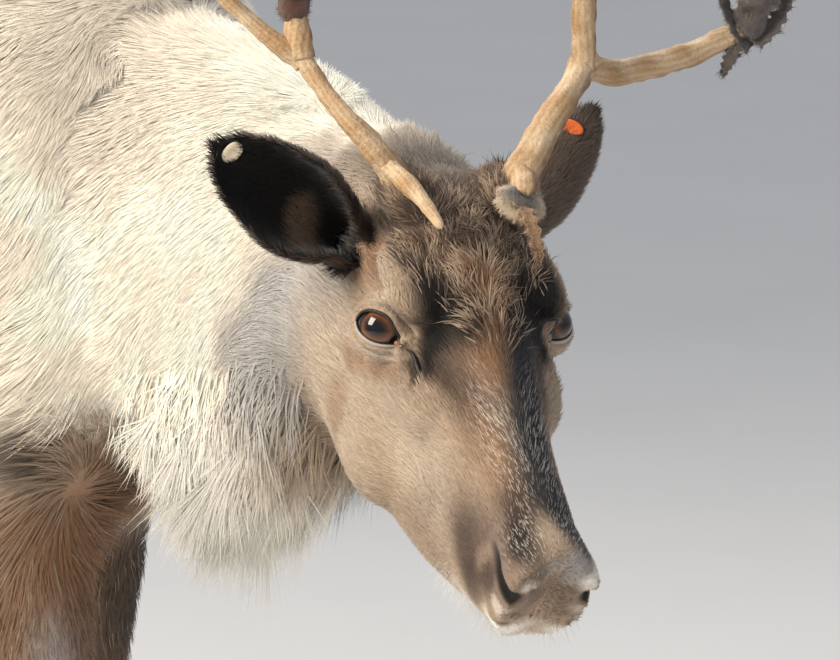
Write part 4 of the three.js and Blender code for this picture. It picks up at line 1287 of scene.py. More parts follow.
def eye_finish(name, side):
    """A dark brown eye with a level, oval pupil, seen through a wet front."""
    settings = bpy.context.scene.reindeer_face
    across, upward, _, place = eye_axes(side)
    finish = Finish(name, roughness=0.12, coat_weight=0.7, coat_roughness=0.02, specular_ior_level=0.15)
    middle = tuple(in_scene(out_of_head(place)))
    offset = finish.node("VectorMath", {"operation": "SUBTRACT"}, {0: finish.place(), 1: middle})

    def reach(direction, iris):
        inputs = {0: offset, 1: tuple(HEAD_TURN @ direction * 1000 / EYE["radius"])}
        dot = finish.node("VectorMath", {"operation": "DOT_PRODUCT"}, inputs, output="Value")
        return dot - iris / EYE["radius"]

    u = reach(across, EYE["iris"][0])
    v = reach(upward, EYE["iris"][1])
    around = finish.node("Math", {"operation": "ARCTAN2"}, {0: v, 1: u})
    far = (u * u + v * v) ** 0.5
    spokes = finish.node("CombineXYZ", {}, {0: around * 9.0, 1: far * 3.0})
    inputs = {"Vector": spokes, "Scale": 2.0, "Detail": 4.0}
    fibres = finish.node("TexNoise", {"noise_dimensions": "2D"}, inputs)
    brown = linear(settings.iris)
    stops = [(0.0, brown * 0.2), (0.28, brown * 0.55), (0.48, brown * 1.25), (0.55, brown)]
    stops.append((0.6, linear(settings.white_of_eye)))
    iris = finish.node("ValToRGB", {"stops": stops}, {"Fac": far + (fibres - 0.5) * 0.12})
    pupil = ((u / 0.5) ** 2 + (v / 0.34) ** 2) ** 0.5
    open_pupil = finish.node("MapRange", {}, {"Value": pupil, 1: 0.55, 2: 1.2, 3: 1.0, 4: 0.0})
    coloured = finish.shaded(0.65 + 0.8 * fibres, iris)
    finish.set("Base Color", finish.mixed(open_pupil, coloured, (0.004, 0.003, 0.004, 1)))
    finish.set("Roughness", 0.08 + 0.06 * fibres)
    return finish.material


def floor_finish():
    settings = bpy.context.scene.reindeer_stage
    finish = Finish("studio_floor", roughness=0.8, specular_ior_level=0.2)
    mottle = finish.noise(3, 4.0)
    clean = (*linear(settings.floor), 1)
    finish.set("Base Color", finish.mixed(mottle * 0.5, clean, (0.7, 0.69, 0.67, 1)))
    finish.set("Roughness", 0.7 + 0.2 * mottle)
    return finish.material


def material(name, maker, *details):
    """A material by name, made on first use."""
    return bpy.data.materials.get(name) or maker(*details)


# Scattered tufts


class Tufts:
    """Seeded, tapered, three-sided tufts that leave a surface and lie down along the coat."""

    FAINT = 1e-9
    FLAT = 0.38
    PATCH = 0.003

    def __init__(self, piece, weight, count, seed):
        """Finds the roots' places, their normals and their places in the unwrap of the piece."""
        self.random = np.random.default_rng(SEED + seed)
        self.count = count
        mesh = piece.data
        mesh.calc_loop_triangles()
        corners = values_of(mesh.loop_triangles, "vertices", 3, np.int32)
        loops = values_of(mesh.loop_triangles, "loops", 3, np.int32)
        points = points_of(mesh)
        a, b, c = (points[corners[:, i]] for i in range(3))
        area = np.linalg.norm(np.cross(b - a, c - a), axis=1) / 2
        wanted = weight((a + b + c) / 3)
        if not (wanted > 0).any():
            raise RuntimeError("no surface to set tufts on")
        total = np.cumsum(area * (wanted + self.FAINT))
        even = (np.arange(self.count) + self.between(0, 1)) / self.count
        picked = np.clip(np.searchsorted(total, even * total[-1]), 0, len(corners) - 1)
        first = np.sqrt(self.between(0, 1))
        second = self.between(0, 1)
        shares = np.stack([1 - first, first * (1 - second), first * second], axis=1)

        def carried(values, index):
            return (values[index[picked]] * shares[:, :, None]).sum(axis=1)

        self.roots = carried(points, corners)
        self.normals = unit(carried(values_of(mesh.vertices, "normal", 3), corners))
        self.unwrapped = carried(values_of(mesh.uv_layers["OFBake"].data, "uv", 2), loops)

    def between(self, low, high):
        """A random number for each tuft."""
        return self.random.uniform(low, high, self.count)

    def keep(self, kept):
        self.roots = self.roots[kept]
        self.normals = self.normals[kept]
        self.unwrapped = self.unwrapped[kept]
        self.count = len(self.roots)

    def varied(self, colours, spread, dark_share=0.0, dark=None):
        """Colours that differ a little from tuft to tuft, with a share of darker ones."""
        shade = 1 + self.random.normal(0, spread, self.count)
        mixed = colours * np.clip(shade, 0.4, 1.5)[:, None]
        if dark_share:
            mixed = over(mixed, (self.between(0, 1) < dark_share) * 0.6, dark)
        return np.clip(mixed, 0, 1)

    def grow(self, name, slot, lies, lengths, widths, rise, colours, segments=1, sway=0.12, sunk=1.5,
             root_shade_and_pale_tip=(0.66, 1.1), droop=0.0, curl=0.0):
        """Makes one piece of all tufts; sway, droop and curl bend them aside, down and forward."""
        side = np.cross(self.normals, lies)
        sideways = self.random.normal(0, sway, self.count)
        lifts = rise * self.between(0.7, 1.3)
        rings = []
        tones = []
        patches = []
        for level in np.arange(segments + 1) / segments:
            over_skin = lifts * (1 - (1 - level) ** 2.2) - sunk * (1 - level)
            middle = (
                self.roots
                + lies * (lengths * level)[:, None]
                + self.normals * over_skin[:, None]
                + side * (lengths * sideways * level * level)[:, None]
                + np.array([0, 0, -1.0]) * (lengths * droop * level * level)[:, None]
                + np.array([1.0, 0, 0.2]) * (lengths * curl * level**3)[:, None]
            )
            if level == 1.0:
                rings.append(middle[:, None, :])
                patches.append([[0, 0.5]])
            else:
                half = (widths * 0.5 * (1 - level**1.7) * (0.75 + 0.25 * min(level * 4, 1)))[:, None]
                raised = middle + self.normals * half * 2 * self.FLAT
                rings.append(np.stack([middle - side * half, middle + side * half, raised], axis=1))
                patches.append([[-0.5, level - 0.5], [0.5, level - 0.5], [0, level - 0.5]])
            # Each tuft is darkened towards its root as painted shade of the coat's depth, and made paler
            # towards its tip for the hair's own pale tips
            shade = root_shade_and_pale_tip[0] + (root_shade_and_pale_tip[1] - root_shade_and_pale_tip[0]) * level**0.8
            tones += [shade] * rings[-1].shape[1]
        points = np.concatenate(rings, axis=1)
        each = points.shape[1]
        pattern = []
        for level in range(segments - 1):
            for k in range(3):
                a, b = level * 3 + k, level * 3 + (k + 1) % 3
                pattern += [[a, b, b + 3], [a, b + 3, a + 3]]
        last = (segments - 1) * 3
        pattern += [[last + k, last + (k + 1) % 3, each - 1] for k in range(3)]
        faces = (np.arange(self.count)[:, None, None] * each + np.array(pattern)).reshape(-1, 3)
        piece = new_object(name, points.reshape(-1, 3), faces, material("fur", coat_finish))
        tones = colours[:, None, :] * np.array(tones)[None, :, None]
        set_colours(piece, np.clip(tones, 0, 1).reshape(-1, 3))
        layer = piece.data.uv_layers.new(name="OFBake")
        spread = (self.unwrapped[:, None, :] + np.concatenate(patches) * self.PATCH).reshape(-1, 2)
        layer.data.foreach_set("uv", spread[faces.reshape(-1)].astype(np.float32).ravel())
        bends = np.array([-0.5, 0.5, 0] * segments + [0])
        soft = self.normals[:, None, :] + side[:, None, :] * bends[None, :, None]
        piece.data.normals_split_custom_set_from_vertices(unit(soft).reshape(-1, 3).tolist())


# Settings that a user would change


def colour_setting(name, description, default):
    return FloatVectorProperty(
        name=name, description=description, default=default, subtype="COLOR", size=3, min=0, max=1
    )


def length_setting(name, description, default, low, high):
    return FloatProperty(
        name=name, description=description, default=default, min=low, max=high, unit="LENGTH"
    )


class CoatSettings(bpy.types.PropertyGroup):
    cream: colour_setting("Neck", "Pale hair of the neck", (1.0, 0.95, 0.87))
    white: colour_setting("Beard", "Beard, belly, rump and lips", (0.98, 0.95, 0.9))
    flank: colour_setting("Flanks", "Pale grey-beige of the trunk", (0.88, 0.81, 0.72))
    dun: colour_setting("Back", "Darker hair along the back", (0.64, 0.56, 0.48))
    cheek: colour_setting("Cheeks", "Pale tan of the cheeks", (0.74, 0.67, 0.59))
    tan: colour_setting("Face", "Warm tan of the face", (0.64, 0.55, 0.46))
    brown: colour_setting("Breast", "Brown of the breast and upper legs", (0.5, 0.36, 0.25))
    leg: colour_setting("Legs", "Grey-brown of the legs", (0.46, 0.38, 0.31))
    umber: colour_setting("Forehead", "Dark brown of the forehead", (0.27, 0.21, 0.17))
    dark: colour_setting("Dark marks", "Near-black marks of face, breast and ears", (0.08, 0.06, 0.05))
    slate: colour_setting("Bridge", "Dark grey of the bridge of the nose", (0.15, 0.155, 0.17))
    mouse: colour_setting("Muzzle", "Grey-brown of the muzzle", (0.43, 0.36, 0.31))
    pale: colour_setting("Nose", "Pale grey of the nose and the pasterns", (0.82, 0.77, 0.71))
    ash: colour_setting("Throat", "Blue-grey behind the cheek", (0.66, 0.65, 0.64))
    length: length_setting("Coat length", "Length of the tufts of the trunk", 0.046, 0.01, 0.09)
    face_length: length_setting("Face length", "Length of the tufts of the face", 0.008, 0.002, 0.02)
    beard_length: length_setting("Beard length", "Length of the locks of the beard", 0.095, 0.03, 0.16)
    tufts: IntProperty(
        name="Tufts", description="Number of tufts on each piece of the coat", default=46000,
        min=500, max=64000,
    )

    def tones(self):
        names = "cream white flank dun cheek tan brown leg umber dark slate mouse pale ash".split()
        return {name: linear(getattr(self, name)) for name in names}


class AntlerSettings(bpy.types.PropertyGroup):
    bone: colour_setting("Bone", "Cream of the rubbed antler", (0.88, 0.78, 0.64))
    tan: colour_setting("Tan", "Tan of the antler's upper lengths", (0.7, 0.55, 0.38))
    # This colour is also laid along one side of each antler as painted shade
    stain_and_shade: colour_setting("Stain", "Brown left by the shed skin", (0.42, 0.28, 0.17))
    brown_velvet: colour_setting("Brown velvet", "Velvet of the right antler", (0.36, 0.24, 0.17))
    grey_velvet: colour_setting("Grey velvet", "Velvet of the left antler", (0.38, 0.34, 0.31))
    brow_grey: colour_setting("Brow grey", "Fluff round the left brow tine", (0.4, 0.37, 0.34))
    brow_cream: colour_setting("Brow cream", "Rim of the fluff round the brow tine", (0.76, 0.67, 0.56))


class FaceSettings(bpy.types.PropertyGroup):
    iris: colour_setting("Iris", "Warm brown of the iris", (0.38, 0.23, 0.12))
    white_of_eye: colour_setting("White of the eye", "Tone beside the iris", (0.07, 0.045, 0.04))
    upper_lid: colour_setting("Upper lid", "Dark rim of the upper lid", (0.1, 0.07, 0.06))
    lower_lid: colour_setting("Lower lid", "Pale rim of the lower lid", (0.66, 0.61, 0.57))
    eye_corner: colour_setting("Corner of the eye", "Orange brown of the inner corner", (0.62, 0.4, 0.26))
    cream_tag: colour_setting("Right tag", "Cream tag of the right ear", (0.93, 0.86, 0.74))
    orange_tag: colour_setting("Left tag", "Orange tag of the left ear", (0.9, 0.42, 0.14))
    horn: colour_setting("Hooves", "Dark horn of the hooves", (0.17, 0.14, 0.12))


class StageSettings(bpy.types.PropertyGroup):
    floor: colour_setting("Floor", "Pale studio floor", (0.93, 0.92, 0.9))
    backdrop: colour_setting("Backdrop", "Pale light all round", (0.86, 0.88, 0.92))
    key: FloatProperty(name="Key light", description="Power of the warm light", default=104, unit="POWER")
    fill: FloatProperty(name="Fill light", description="Power of the cool light", default=9, unit="POWER")


# Pieces


class REINDEER_OT_skin(bpy.types.Operator):
    """Builds one skin for trunk, neck, head, tail and legs, with lids, nostrils and mouth"""

    bl_idname = "reindeer.skin"
    bl_label = "Skin"

    def execute(self, context):
        step = SKIN_GRID["step"]
        points, faces = surface_net(skin_distance, SKIN_GRID["low"], SKIN_GRID["high"], step)
        faces = cut_soles(points, faces)
        piece = new_object("skin", points, faces, material("fur", coat_finish))
        evenly_settled(piece.data, 2)
        unwrap(piece)
        stages = [near_head, near_features, near_lids]
        for near in stages:
            finer(piece.data, near)
            evenly_settled(piece.data, 3)
        points = points_of(piece.data)
        set_colours(piece, coat_colour(points) * inner_shade(points)[:, None])
        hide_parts("torso", "neck", "head", "tail", *LEGS)
        return {"FINISHED"}


def cut_soles(points, faces):
    """Leaves out the faces that the hooves hide."""
    return faces[points[faces][:, :, 2].min(axis=1) > SOLE_HEIGHT]


def evenly_settled(mesh, rounds):
    """Evens out the skin's points and brings them back onto its surface."""
    edges = values_of(mesh.edges, "vertices", 2, np.int32)
    set_points(mesh, settled(skin_distance, evened(points_of(mesh), edges), rounds))


def near_head(points):
    head = into_head(points)
    return (head[:, 0] > -110) & (head[:, 2] > -190) & (points[:, 0] > 600)


def near_features(points):
    head = folded(into_head(points))
    front = (head[:, 0] > 135) & (points[:, 0] > 700)
    return front | (from_eye(head) < 48) | (gland_distance(head) < 14)


def near_lids(points):
    head = folded(into_head(points))
    openings = (nostril_distance(head) < 7) | (mouth_distance(head) < 6) | (gland_distance(head) < 8)
    return openings | (from_eye(head) < 31)


def inner_shade(points):
    """Dark in the nostrils, the mouth, the gland's slit and the upper lid's fold, and on the lids."""
    head = folded(into_head(points))
    ahead = (points[:, 0] > 700).astype(float)
    nostril = 1 - ease(nostril_distance(head), 0.2, 2.8)
    lips = hump(mouth_distance(head), 2.6)
    slit = hump(gland_distance(head), 2.4)
    opening, ball, depth, u, v = by_eye(head)
    near_eye = (ball < 34) * ease(depth, 0, 6)
    crease = hump(fold_arc(u, v, *LID_FOLDS[0][:2]), 1.7) * (1 - ease(u, -4, 8)) * near_eye
    lids = (1 - ease(opening, -0.2, 1.0)) * near_eye
    darkness = np.maximum.reduce([nostril * 0.97, lips * 0.8, slit * 0.93, crease * 0.75, lids * 0.85])
    return 1 - darkness * ahead


class REINDEER_OT_eyes(bpy.types.Operator):
    """Builds each eye, the rims and inner corner of its lids and the bare strip of its gland"""

    bl_idname = "reindeer.eyes"
    bl_label = "Eyes and lid rims"

    def execute(self, context):
        for name, side in (("right", -1), ("left", 1)):
            eyeball(name, side)
            lid_rims(name, side)
        return {"FINISHED"}


def eyeball(name, side):
    across, upward, out, place = eye_axes(side)
    rings = 40
    sides = 56
    shape = Shape()
    levels = np.linspace(0.02, math.pi - 0.02, rings)
    turn = full_turn(sides) * side
    front = 1 + 0.05 * hump(levels, 0.42)
    reach = (np.sin(levels) * EYE["radius"])[:, None]
    height = np.cos(levels) * front * EYE["radius"]
    points = rings_about(place, across, upward, reach * np.cos(turn), reach * np.sin(turn))
    points = points + out * height[:, None, None]
    shape.tube(out_of_head(points)[:, ::-1], np.array([0.1, 0.06, 0.05]))
    finish_name = f"eye_{name}_wet"
    piece = shape.piece(f"eyeball_{name}", material(finish_name, eye_finish, finish_name, side))
    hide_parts(f"eye_{name}")


def lid_rims(name, side):
    settings = bpy.context.scene.reindeer_face
    across, upward, out, place = eye_axes(side)
    shape = Shape()
    share = np.cos(np.linspace(math.pi, 0, 56))
    u = EYE["middle"][0] + EYE["half"] * share
    upper, lower = lid_heights(u)
    edges = (
        (upper, 1.15, settings.upper_lid, EYE["radius"] + 0.9),
        (lower, 1.3, settings.lower_lid, EYE["radius"] + 0.9),
        (lower + 1.1, 0.8, settings.upper_lid, EYE["radius"] + 0.5),
    )
    for v, thick, colour, radius in edges:
        depth = np.sqrt(np.maximum(radius**2 - u * u - v * v, EYE["floor"] ** 2))
        path = place + u[:, None] * across + v[:, None] * upward + depth[:, None] * out
        wide = thick * (0.4 + 0.6 * (1 - share**2) ** 0.4)
        shape.tube(out_of_head(round_rings(path, wide, 10, out)), linear(colour))
    corner = place + across * (EYE["middle"][0] - EYE["half"] + 3.4) + out * EYE["floor"] + upward * -2.4
    path = corner - out * 0.7 + np.linspace(-2.8, 2.8, 9)[:, None] * (across + out * 0.4)
    wide = 2.0 * np.sqrt(np.maximum(1 - np.linspace(-1, 1, 9) ** 2, 0.02))
    shape.tube(out_of_head(round_rings(path, wide, 10, out)), linear(settings.eye_corner))
    path, wide, _ = through(np.array(GLAND["path"], float) * [1, side, 1], GLAND["bare"], 30)
    path = path - [0, side * GLAND["sunk"], 0]
    shape.tube(out_of_head(round_rings(path, wide, 10, out)), linear(settings.upper_lid))
    piece = shape.piece(f"lid_rims_{name}", material("lid_skin", lid_finish))


def round_rings(path, radius, sides, hint, squash=1.0):
    first, second = carried_frames(path, hint)
    angle = full_turn(sides)
    radius = np.asarray(radius, float)[:, None]
    return rings_about(path, first, second, radius * np.cos(angle), radius * squash * np.sin(angle))


class REINDEER_OT_ears(bpy.types.Operator):
    """Builds both ears as thin curled cups"""

    bl_idname = "reindeer.ears"
    bl_label = "Ears"

    def execute(self, context):
        for name, ear in EARS.items():
            ear_cup(name, ear)
        return {"FINISHED"}


def ear_frame(ear):
    ahead = unit(ear["direction"])
    opening = np.array(ear["opening"], float)
    out = unit(opening - ahead * (opening @ ahead))
    return ahead, np.cross(out, ahead), out, mirrored(EAR["root"], ear["side"])


def ear_bend(ear, s):
    """An ear's radius, and the turn of each half of its wall, at a share of its length."""
    radius, curl = (along(EAR["places"], EAR[key], s) for key in ("radius", "curl"))
    return radius / ear["roll"], np.radians(np.minimum(curl * ear["roll"], EAR["widest_curl"]))


def ear_place(ear, s, across, layer):
    """A point of an ear's wall, in the head's frame."""
    ahead, side, out, root = ear_frame(ear)
    radius, turn = ear_bend(ear, s)
    reach = radius + layer
    aside = (reach * np.sin(across * turn))[..., None] * side
    behind = (radius - reach * np.cos(across * turn))[..., None] * out
    return root + (s * EAR["length"])[..., None] * ahead + aside + behind


def ear_end(ear, across):
    """Where the ear ends along its length, with the notch of the right ear."""
    end = np.ones_like(across)
    if ear["side"] > 0:
        return end
    low, middle, high = (NOTCH[key] for key in ("low", "middle", "high"))
    for s in np.linspace(1, 0.8, 81):
        radius, turn = ear_bend(ear, s)
        y = radius * np.sin(across * turn)
        slope = np.where(y < middle, middle - low, high - middle)
        cut = NOTCH["from"] + (NOTCH["to"] - NOTCH["from"]) * np.abs(y - middle) / slope
        end = np.where(s > cut, s, end)
    return end


def ear_cup(name, ear):
    rows = 46
    columns = 40
    across = np.linspace(-1, 1, columns)
    start = -EAR["sunk"] / EAR["length"]
    share = np.linspace(0, 1, rows)[:, None]
    s = start + (ear_end(ear, across)[None, :] - start) * share
    across = np.broadcast_to(across, s.shape)
    edge = np.maximum(ease(np.abs(across), 0.8, 1), ease(share, 0.93, 1))
    half = EAR["thickness"] / 2 * (1 - 0.7 * edge)
    outer = ear_place(ear, s, across, half)
    inner = ear_place(ear, s, across, -half)
    rings = np.concatenate([outer, inner[:, ::-1]], axis=1)
    tones = bpy.context.scene.reindeer_coat.tones()
    walls = ((tones["umber"], outer), (tones[ear["wall"]] * 0.6, inner))
    colours = np.concatenate([np.broadcast_to(tone, wall.shape) for tone, wall in walls], axis=1)
    shape = Shape()
    shape.tube(out_of_head(rings), colours)
    piece = shape.piece(f"{name}_cup", material("fur", coat_finish))
    unwrap(piece)
    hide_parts(name)


class REINDEER_OT_tags(bpy.types.Operator):
    """Builds the two plastic ear tags: plates on a stem through the ear"""

    bl_idname = "reindeer.tags"
    bl_label = "Ear tags"

    def execute(self, context):
        settings = context.scene.reindeer_face
        for colour, tag in TAGS.items():
            node = tag["ear"].replace("ear", "ear_tag")
            piece = ear_tag(f"{node}_plates", tag, linear(getattr(settings, colour)))
            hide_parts(node)
        return {"FINISHED"}


def tag_place(tag):
    """Where a tag's stem goes through its ear, in the head's frame."""
    return ear_place(EARS[tag["ear"]], np.array(tag["along"]), np.array(tag["across"]), 0)


def ear_tag(name, tag, colour):
    ear = EARS[tag["ear"]]
    ahead, side, out, _ = ear_frame(ear)
    angle = float(ear_bend(ear, tag["along"])[1]) * tag["across"]
    axis = out * math.cos(angle) - side * math.sin(angle)
    half = EAR["thickness"] / 2 + TAG["gap"]
    outer = half + TAG["plate"]
    plate, stem, bevel, dish = tag["plate"], TAG["stem"], TAG["bevel"], TAG["dish"]
    back = np.array([
        [plate * 0.35, dish - outer], [plate * 0.45, -outer], [plate - bevel, -outer],
        [plate, bevel - outer], [plate, -half - bevel], [plate - bevel, -half],
        [stem + bevel, -half], [stem, bevel - half],
    ])
    profile = np.concatenate([back, back[::-1] * [1, -1]])
    turn = full_turn(40)
    reach = profile[:, :1]
    aside = reach * np.sin(turn) * tag["stretch"]
    rings = rings_about(tag_place(tag), ahead, np.cross(axis, ahead), reach * np.cos(turn), aside)
    shape = Shape()
    shape.tube(out_of_head(rings + axis * profile[:, 1][:, None, None]), colour)
    return shape.piece(name, material("tag_plastic", tag_finish))


class REINDEER_OT_antlers(bpy.types.Operator):
    """Builds both antlers as rubbed bone with grooves and pearls, stained at the burr and darkened with
    painted shade along one side
    """

    bl_idname = "reindeer.antlers"
    bl_label = "Antlers"

    def execute(self, context):
        for name, branches in ANTLERS.items():
            shape = Shape()
            for number, (kind, (path, radius)) in enumerate(branches.items()):
                antler_branch(shape, kind, path, radius, SEED + 50 + number)
            piece = shape.piece(f"antler_{name}", material("rubbed_bone", bone_finish))
            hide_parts(f"antler_{name}_beam", f"antler_{name}_front", f"antler_{name}_rear")
        return {"FINISHED"}


def antler_branch(shape, kind, path, radius, seed):
    settings = bpy.context.scene.reindeer_antlers
    length = np.linalg.norm(np.diff(path, axis=0), axis=1).sum()
    count = int(length / 2.0) + 12
    places, wide, t = through(path, radius, count)
    tip = t > 1 - 1.2 * wide[-1] / length
    if kind != "beam":
        close = np.sqrt(np.clip((1 - t) * length / (1.2 * wide[-1]), 0.0, 1))
        wide = np.where(tip, wide * np.maximum(close, 0.06), wide)
    sides = 30
    angle = full_turn(sides)
    first, second = carried_frames(places, [0, 0, 1])
    middle = places[:, None, :]
    outward = rings_about(places * 0, first, second, np.cos(angle)[None, :], np.sin(angle)[None, :])
    surface = (middle + outward * wide[:, None, None]).reshape(-1, 3)
    wave = ripple(surface, 26, seed).reshape(count, sides) * 0.07
    fine = ripple(surface, 7, seed + 1).reshape(count, sides) * 0.035
    grooves = 0.035 * np.sin(angle * 5 + 2.2 * ripple(places, 90, seed + 2)[:, None])
    burr = 0.22 * hump((t - 0.2) * length, 7) * (kind == "beam")
    pearls = burr[:, None] * (1 + 0.5 * np.sin(angle * 9 + 3))
    grown = wide[:, None] * (1 + wave + fine + grooves + pearls)
    rings = middle + outward * grown[:, :, None]
    # Painted shade on the side of each branch turned from the light, mostly towards the head's left and a
    # little below
    shaded_side = ease(outward @ np.array([0.1, 0.93, -0.3]), 0.1, 0.85)
    upper = ease(t, 0.3, 1.0)[:, None] * (0.0 if kind in ("beam", "spike") else 0.75)
    bone, tan, stain_and_shade = (linear(colour) for colour in (settings.bone, settings.tan, settings.stain_and_shade))
    lines = 0.5 + 0.5 * np.sin(angle * 11 + 3 * ripple(places, 60, seed + 3)[:, None])
    colours = bone + (tan - bone) * np.clip(upper + 0.45 + 0.3 * lines + 4 * wave, 0, 1)[:, :, None]
    # The stain colour is laid on that side as painted shade, and on the burr and along the grain lines as
    # the bone's own stain
    crust = np.clip(shaded_side * (0.75 + 8 * fine) + burr[:, None] * 2.2 + 0.16 * lines, 0, 0.88)
    colours = colours + (stain_and_shade - colours) * crust[:, :, None]
    shape.tube(out_of_head(rings), colours)


class REINDEER_OT_velvet(bpy.types.Operator):
    """Builds the shed velvet: torn sleeves, hanging shreds and the furry collar of the brow tine"""

    bl_idname = "reindeer.velvet"
    bl_label = "Shed velvet"

    def execute(self, context):
        settings = context.scene.reindeer_antlers
        finish = material("shed_velvet", velvet_finish)
        for number, (name, velvet) in enumerate(VELVETS.items()):
            colour = linear(getattr(settings, velvet["colour"]))
            shape = Shape()
            torn_sleeve(shape, velvet, colour, SEED + 80 + number)
            for index, (path, width) in enumerate(velvet["shreds"]):
                shred(shape, path, width, colour, SEED + 90 + index)
            piece = shape.piece(f"{name}_skin", finish)
            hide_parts(name)
            unwrap(piece)
            velvet_hair(piece, f"{name}_hair", one_tone(colour * 1.5), velvet["hairs"])
        brow_collar(settings, finish)
        return {"FINISHED"}


def torn_sleeve(shape, velvet, colour, seed):
    path, radius = ANTLERS[velvet["antler"]][velvet["branch"]]
    start, end = velvet["span"]
    count, sides = 60, 34
    places, wide, _ = through(path, radius, count, start, end)
    angle = full_turn(sides)
    first, second = carried_frames(places, [0, 0, 1])
    share = np.linspace(0, 1, count)[:, None]
    jag = 0.5 + 0.5 * np.sin(angle * 3 + seed) * np.sin(angle * 5 + 1.3)
    covered = ease(share, 0.0, 0.05) * (1 - ease(share - (0.86 + 0.14 * jag[None, :]), -0.03, 0.01))
    wide = wide[:, None]
    surface = rings_about(places, first, second, np.cos(angle) * wide, np.sin(angle) * wide)
    lumps = ripple(surface.reshape(-1, 3), 13, seed).reshape(count, sides)
    grown = wide - 0.8 + covered * (velvet["thickness"] * (1.05 + 0.4 * lumps) + 0.8)
    rings = rings_about(places, first, second, np.cos(angle) * grown, np.sin(angle) * grown)
    shape.tube(out_of_head(rings), colour * (0.8 + 0.3 * lumps)[:, :, None])


def shred(shape, path, width, colour, seed):
    random = np.random.default_rng(seed)
    count = 40
    widths = np.array([0.8, 1, 0.75, 0.5][: len(path)]) * width / 2
    places, wide, t = through(path, widths, count)
    ragged = 1 + 0.25 * np.sin(t * 40 + seed) + random.normal(0, 0.07, count)
    wide = np.maximum(wide * ragged * (1 - ease(t, 0.86, 1.0) * 0.85), 0.3)
    thick = 1.5 - 0.8 * t
    first, second = carried_frames(places, [0, 0, 1])
    angle = full_turn(14)
    wide = wide[:, None]
    bow = 0.35 * wide * np.cos(angle) ** 2 - thick[:, None] * np.sin(angle)
    shape.tube(out_of_head(rings_about(places, second, first, wide * np.cos(angle), bow)), colour)


def velvet_hair(piece, name, tone_at, count, length=5.0):
    tufts = Tufts(piece, lambda points: np.ones(len(points)), count, len(name))
    lies = laid(wandering(tufts.roots, 18, SEED + 70) + [-0.4, 0, -0.7], tufts.normals)
    lengths = length * tufts.between(0.5, 1.3)
    widths = np.full(tufts.count, 0.8)
    colours = tufts.varied(tone_at(into_head(tufts.roots)), 0.25)
    tufts.grow(name, "grey_velvet", lies, lengths, widths, length * 0.35, colours, root_shade_and_pale_tip=(0.75, 1.2))


def one_tone(colour):
    return lambda points: np.tile(colour, (len(points), 1))


def brow_tone(points):
    """Grey fluff with a cream rim and a tan hanging strip."""
    settings = bpy.context.scene.reindeer_antlers
    reach = (points - np.array(BROW_VELVET["place"], float)) / np.array(BROW_VELVET["radii"], float)
    from_middle = np.linalg.norm(reach[:, :2], axis=1)
    rim = hump(from_middle - 0.92, 0.28)
    pit = hump(from_middle, 0.45) * ease(reach[:, 2], 0.2, 0.7)
    colours = np.tile(linear(settings.brow_grey), (len(points), 1))
    colours = over(colours, rim * 0.9, linear(settings.brow_cream))
    colours = over(colours, pit * 0.85, linear(settings.stain_and_shade) * 0.2)
    path = BROW_VELVET["shred"]
    strip = 1 - ease(chain_distance(path[1:], [0] * (len(path) - 1), points), 5, 9)
    return over(colours, strip * 0.9, linear(settings.brow_cream) * BROW_VELVET["tan"])


def brow_collar(settings, finish):
    """The furry oval at the end of the left brow tine, rimmed pale, with its hanging strip."""
    shape = Shape()
    rings = 26
    sides = 44
    levels = np.linspace(0.05, math.pi - 0.05, rings)[:, None]
    turn = full_turn(sides)
    place = np.array(BROW_VELVET["place"], float)
    radii = np.array(BROW_VELVET["radii"], float)
    height = np.broadcast_to(np.cos(levels), (rings, sides))
    ball = np.stack([np.sin(levels) * np.cos(turn), np.sin(levels) * np.sin(turn), height], axis=-1)
    lumps = ripple(ball.reshape(-1, 3), 0.9, SEED + 60).reshape(rings, sides)
    top = ease(ball[:, :, 2], 0.2, 0.8)
    scale = 0.95 + 0.07 * lumps - 0.1 * top * hump(np.linalg.norm(ball[:, :, :2], axis=2), 0.45)
    points = place + ball * radii * scale[:, :, None]
    points = points[:, ::-1]
    shape.tube(out_of_head(points), brow_tone(points.reshape(-1, 3)).reshape(points.shape))
    cream = linear(settings.brow_cream) * BROW_VELVET["tan"]
    shred(shape, BROW_VELVET["shred"], BROW_VELVET["width"], cream, SEED + 61)
    piece = shape.piece("velvet_left_brow_collar", finish)
    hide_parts("velvet_left_brow")
    unwrap(piece)
    velvet_hair(piece, "velvet_left_brow_hair", brow_tone, HAIRS["brow"], 4.0)


class REINDEER_OT_hooves(bpy.types.Operator):
    """Builds the claws and dewclaws of each foot, with growth rings"""

    bl_idname = "reindeer.hooves"
    bl_label = "Hooves"

    def execute(self, context):
        colour = linear(context.scene.reindeer_face.horn)
        for name, (side, limb, step) in LEGS.items():
            foot, _ = joint(side, limb, step, *limb["stretches"][-1][1])
            shape = Shape()
            for half in (-1, 1):
                claw(shape, foot, half, colour)
                dewclaw(shape, foot, half, colour)
            piece = shape.piece(f"hooves_{name}", material("hoof_horn", hoof_finish))
            for kind in ("claw", "dewclaw"):
                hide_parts(f"{kind}_{name}_inner", f"{kind}_{name}_outer")
        return {"FINISHED"}


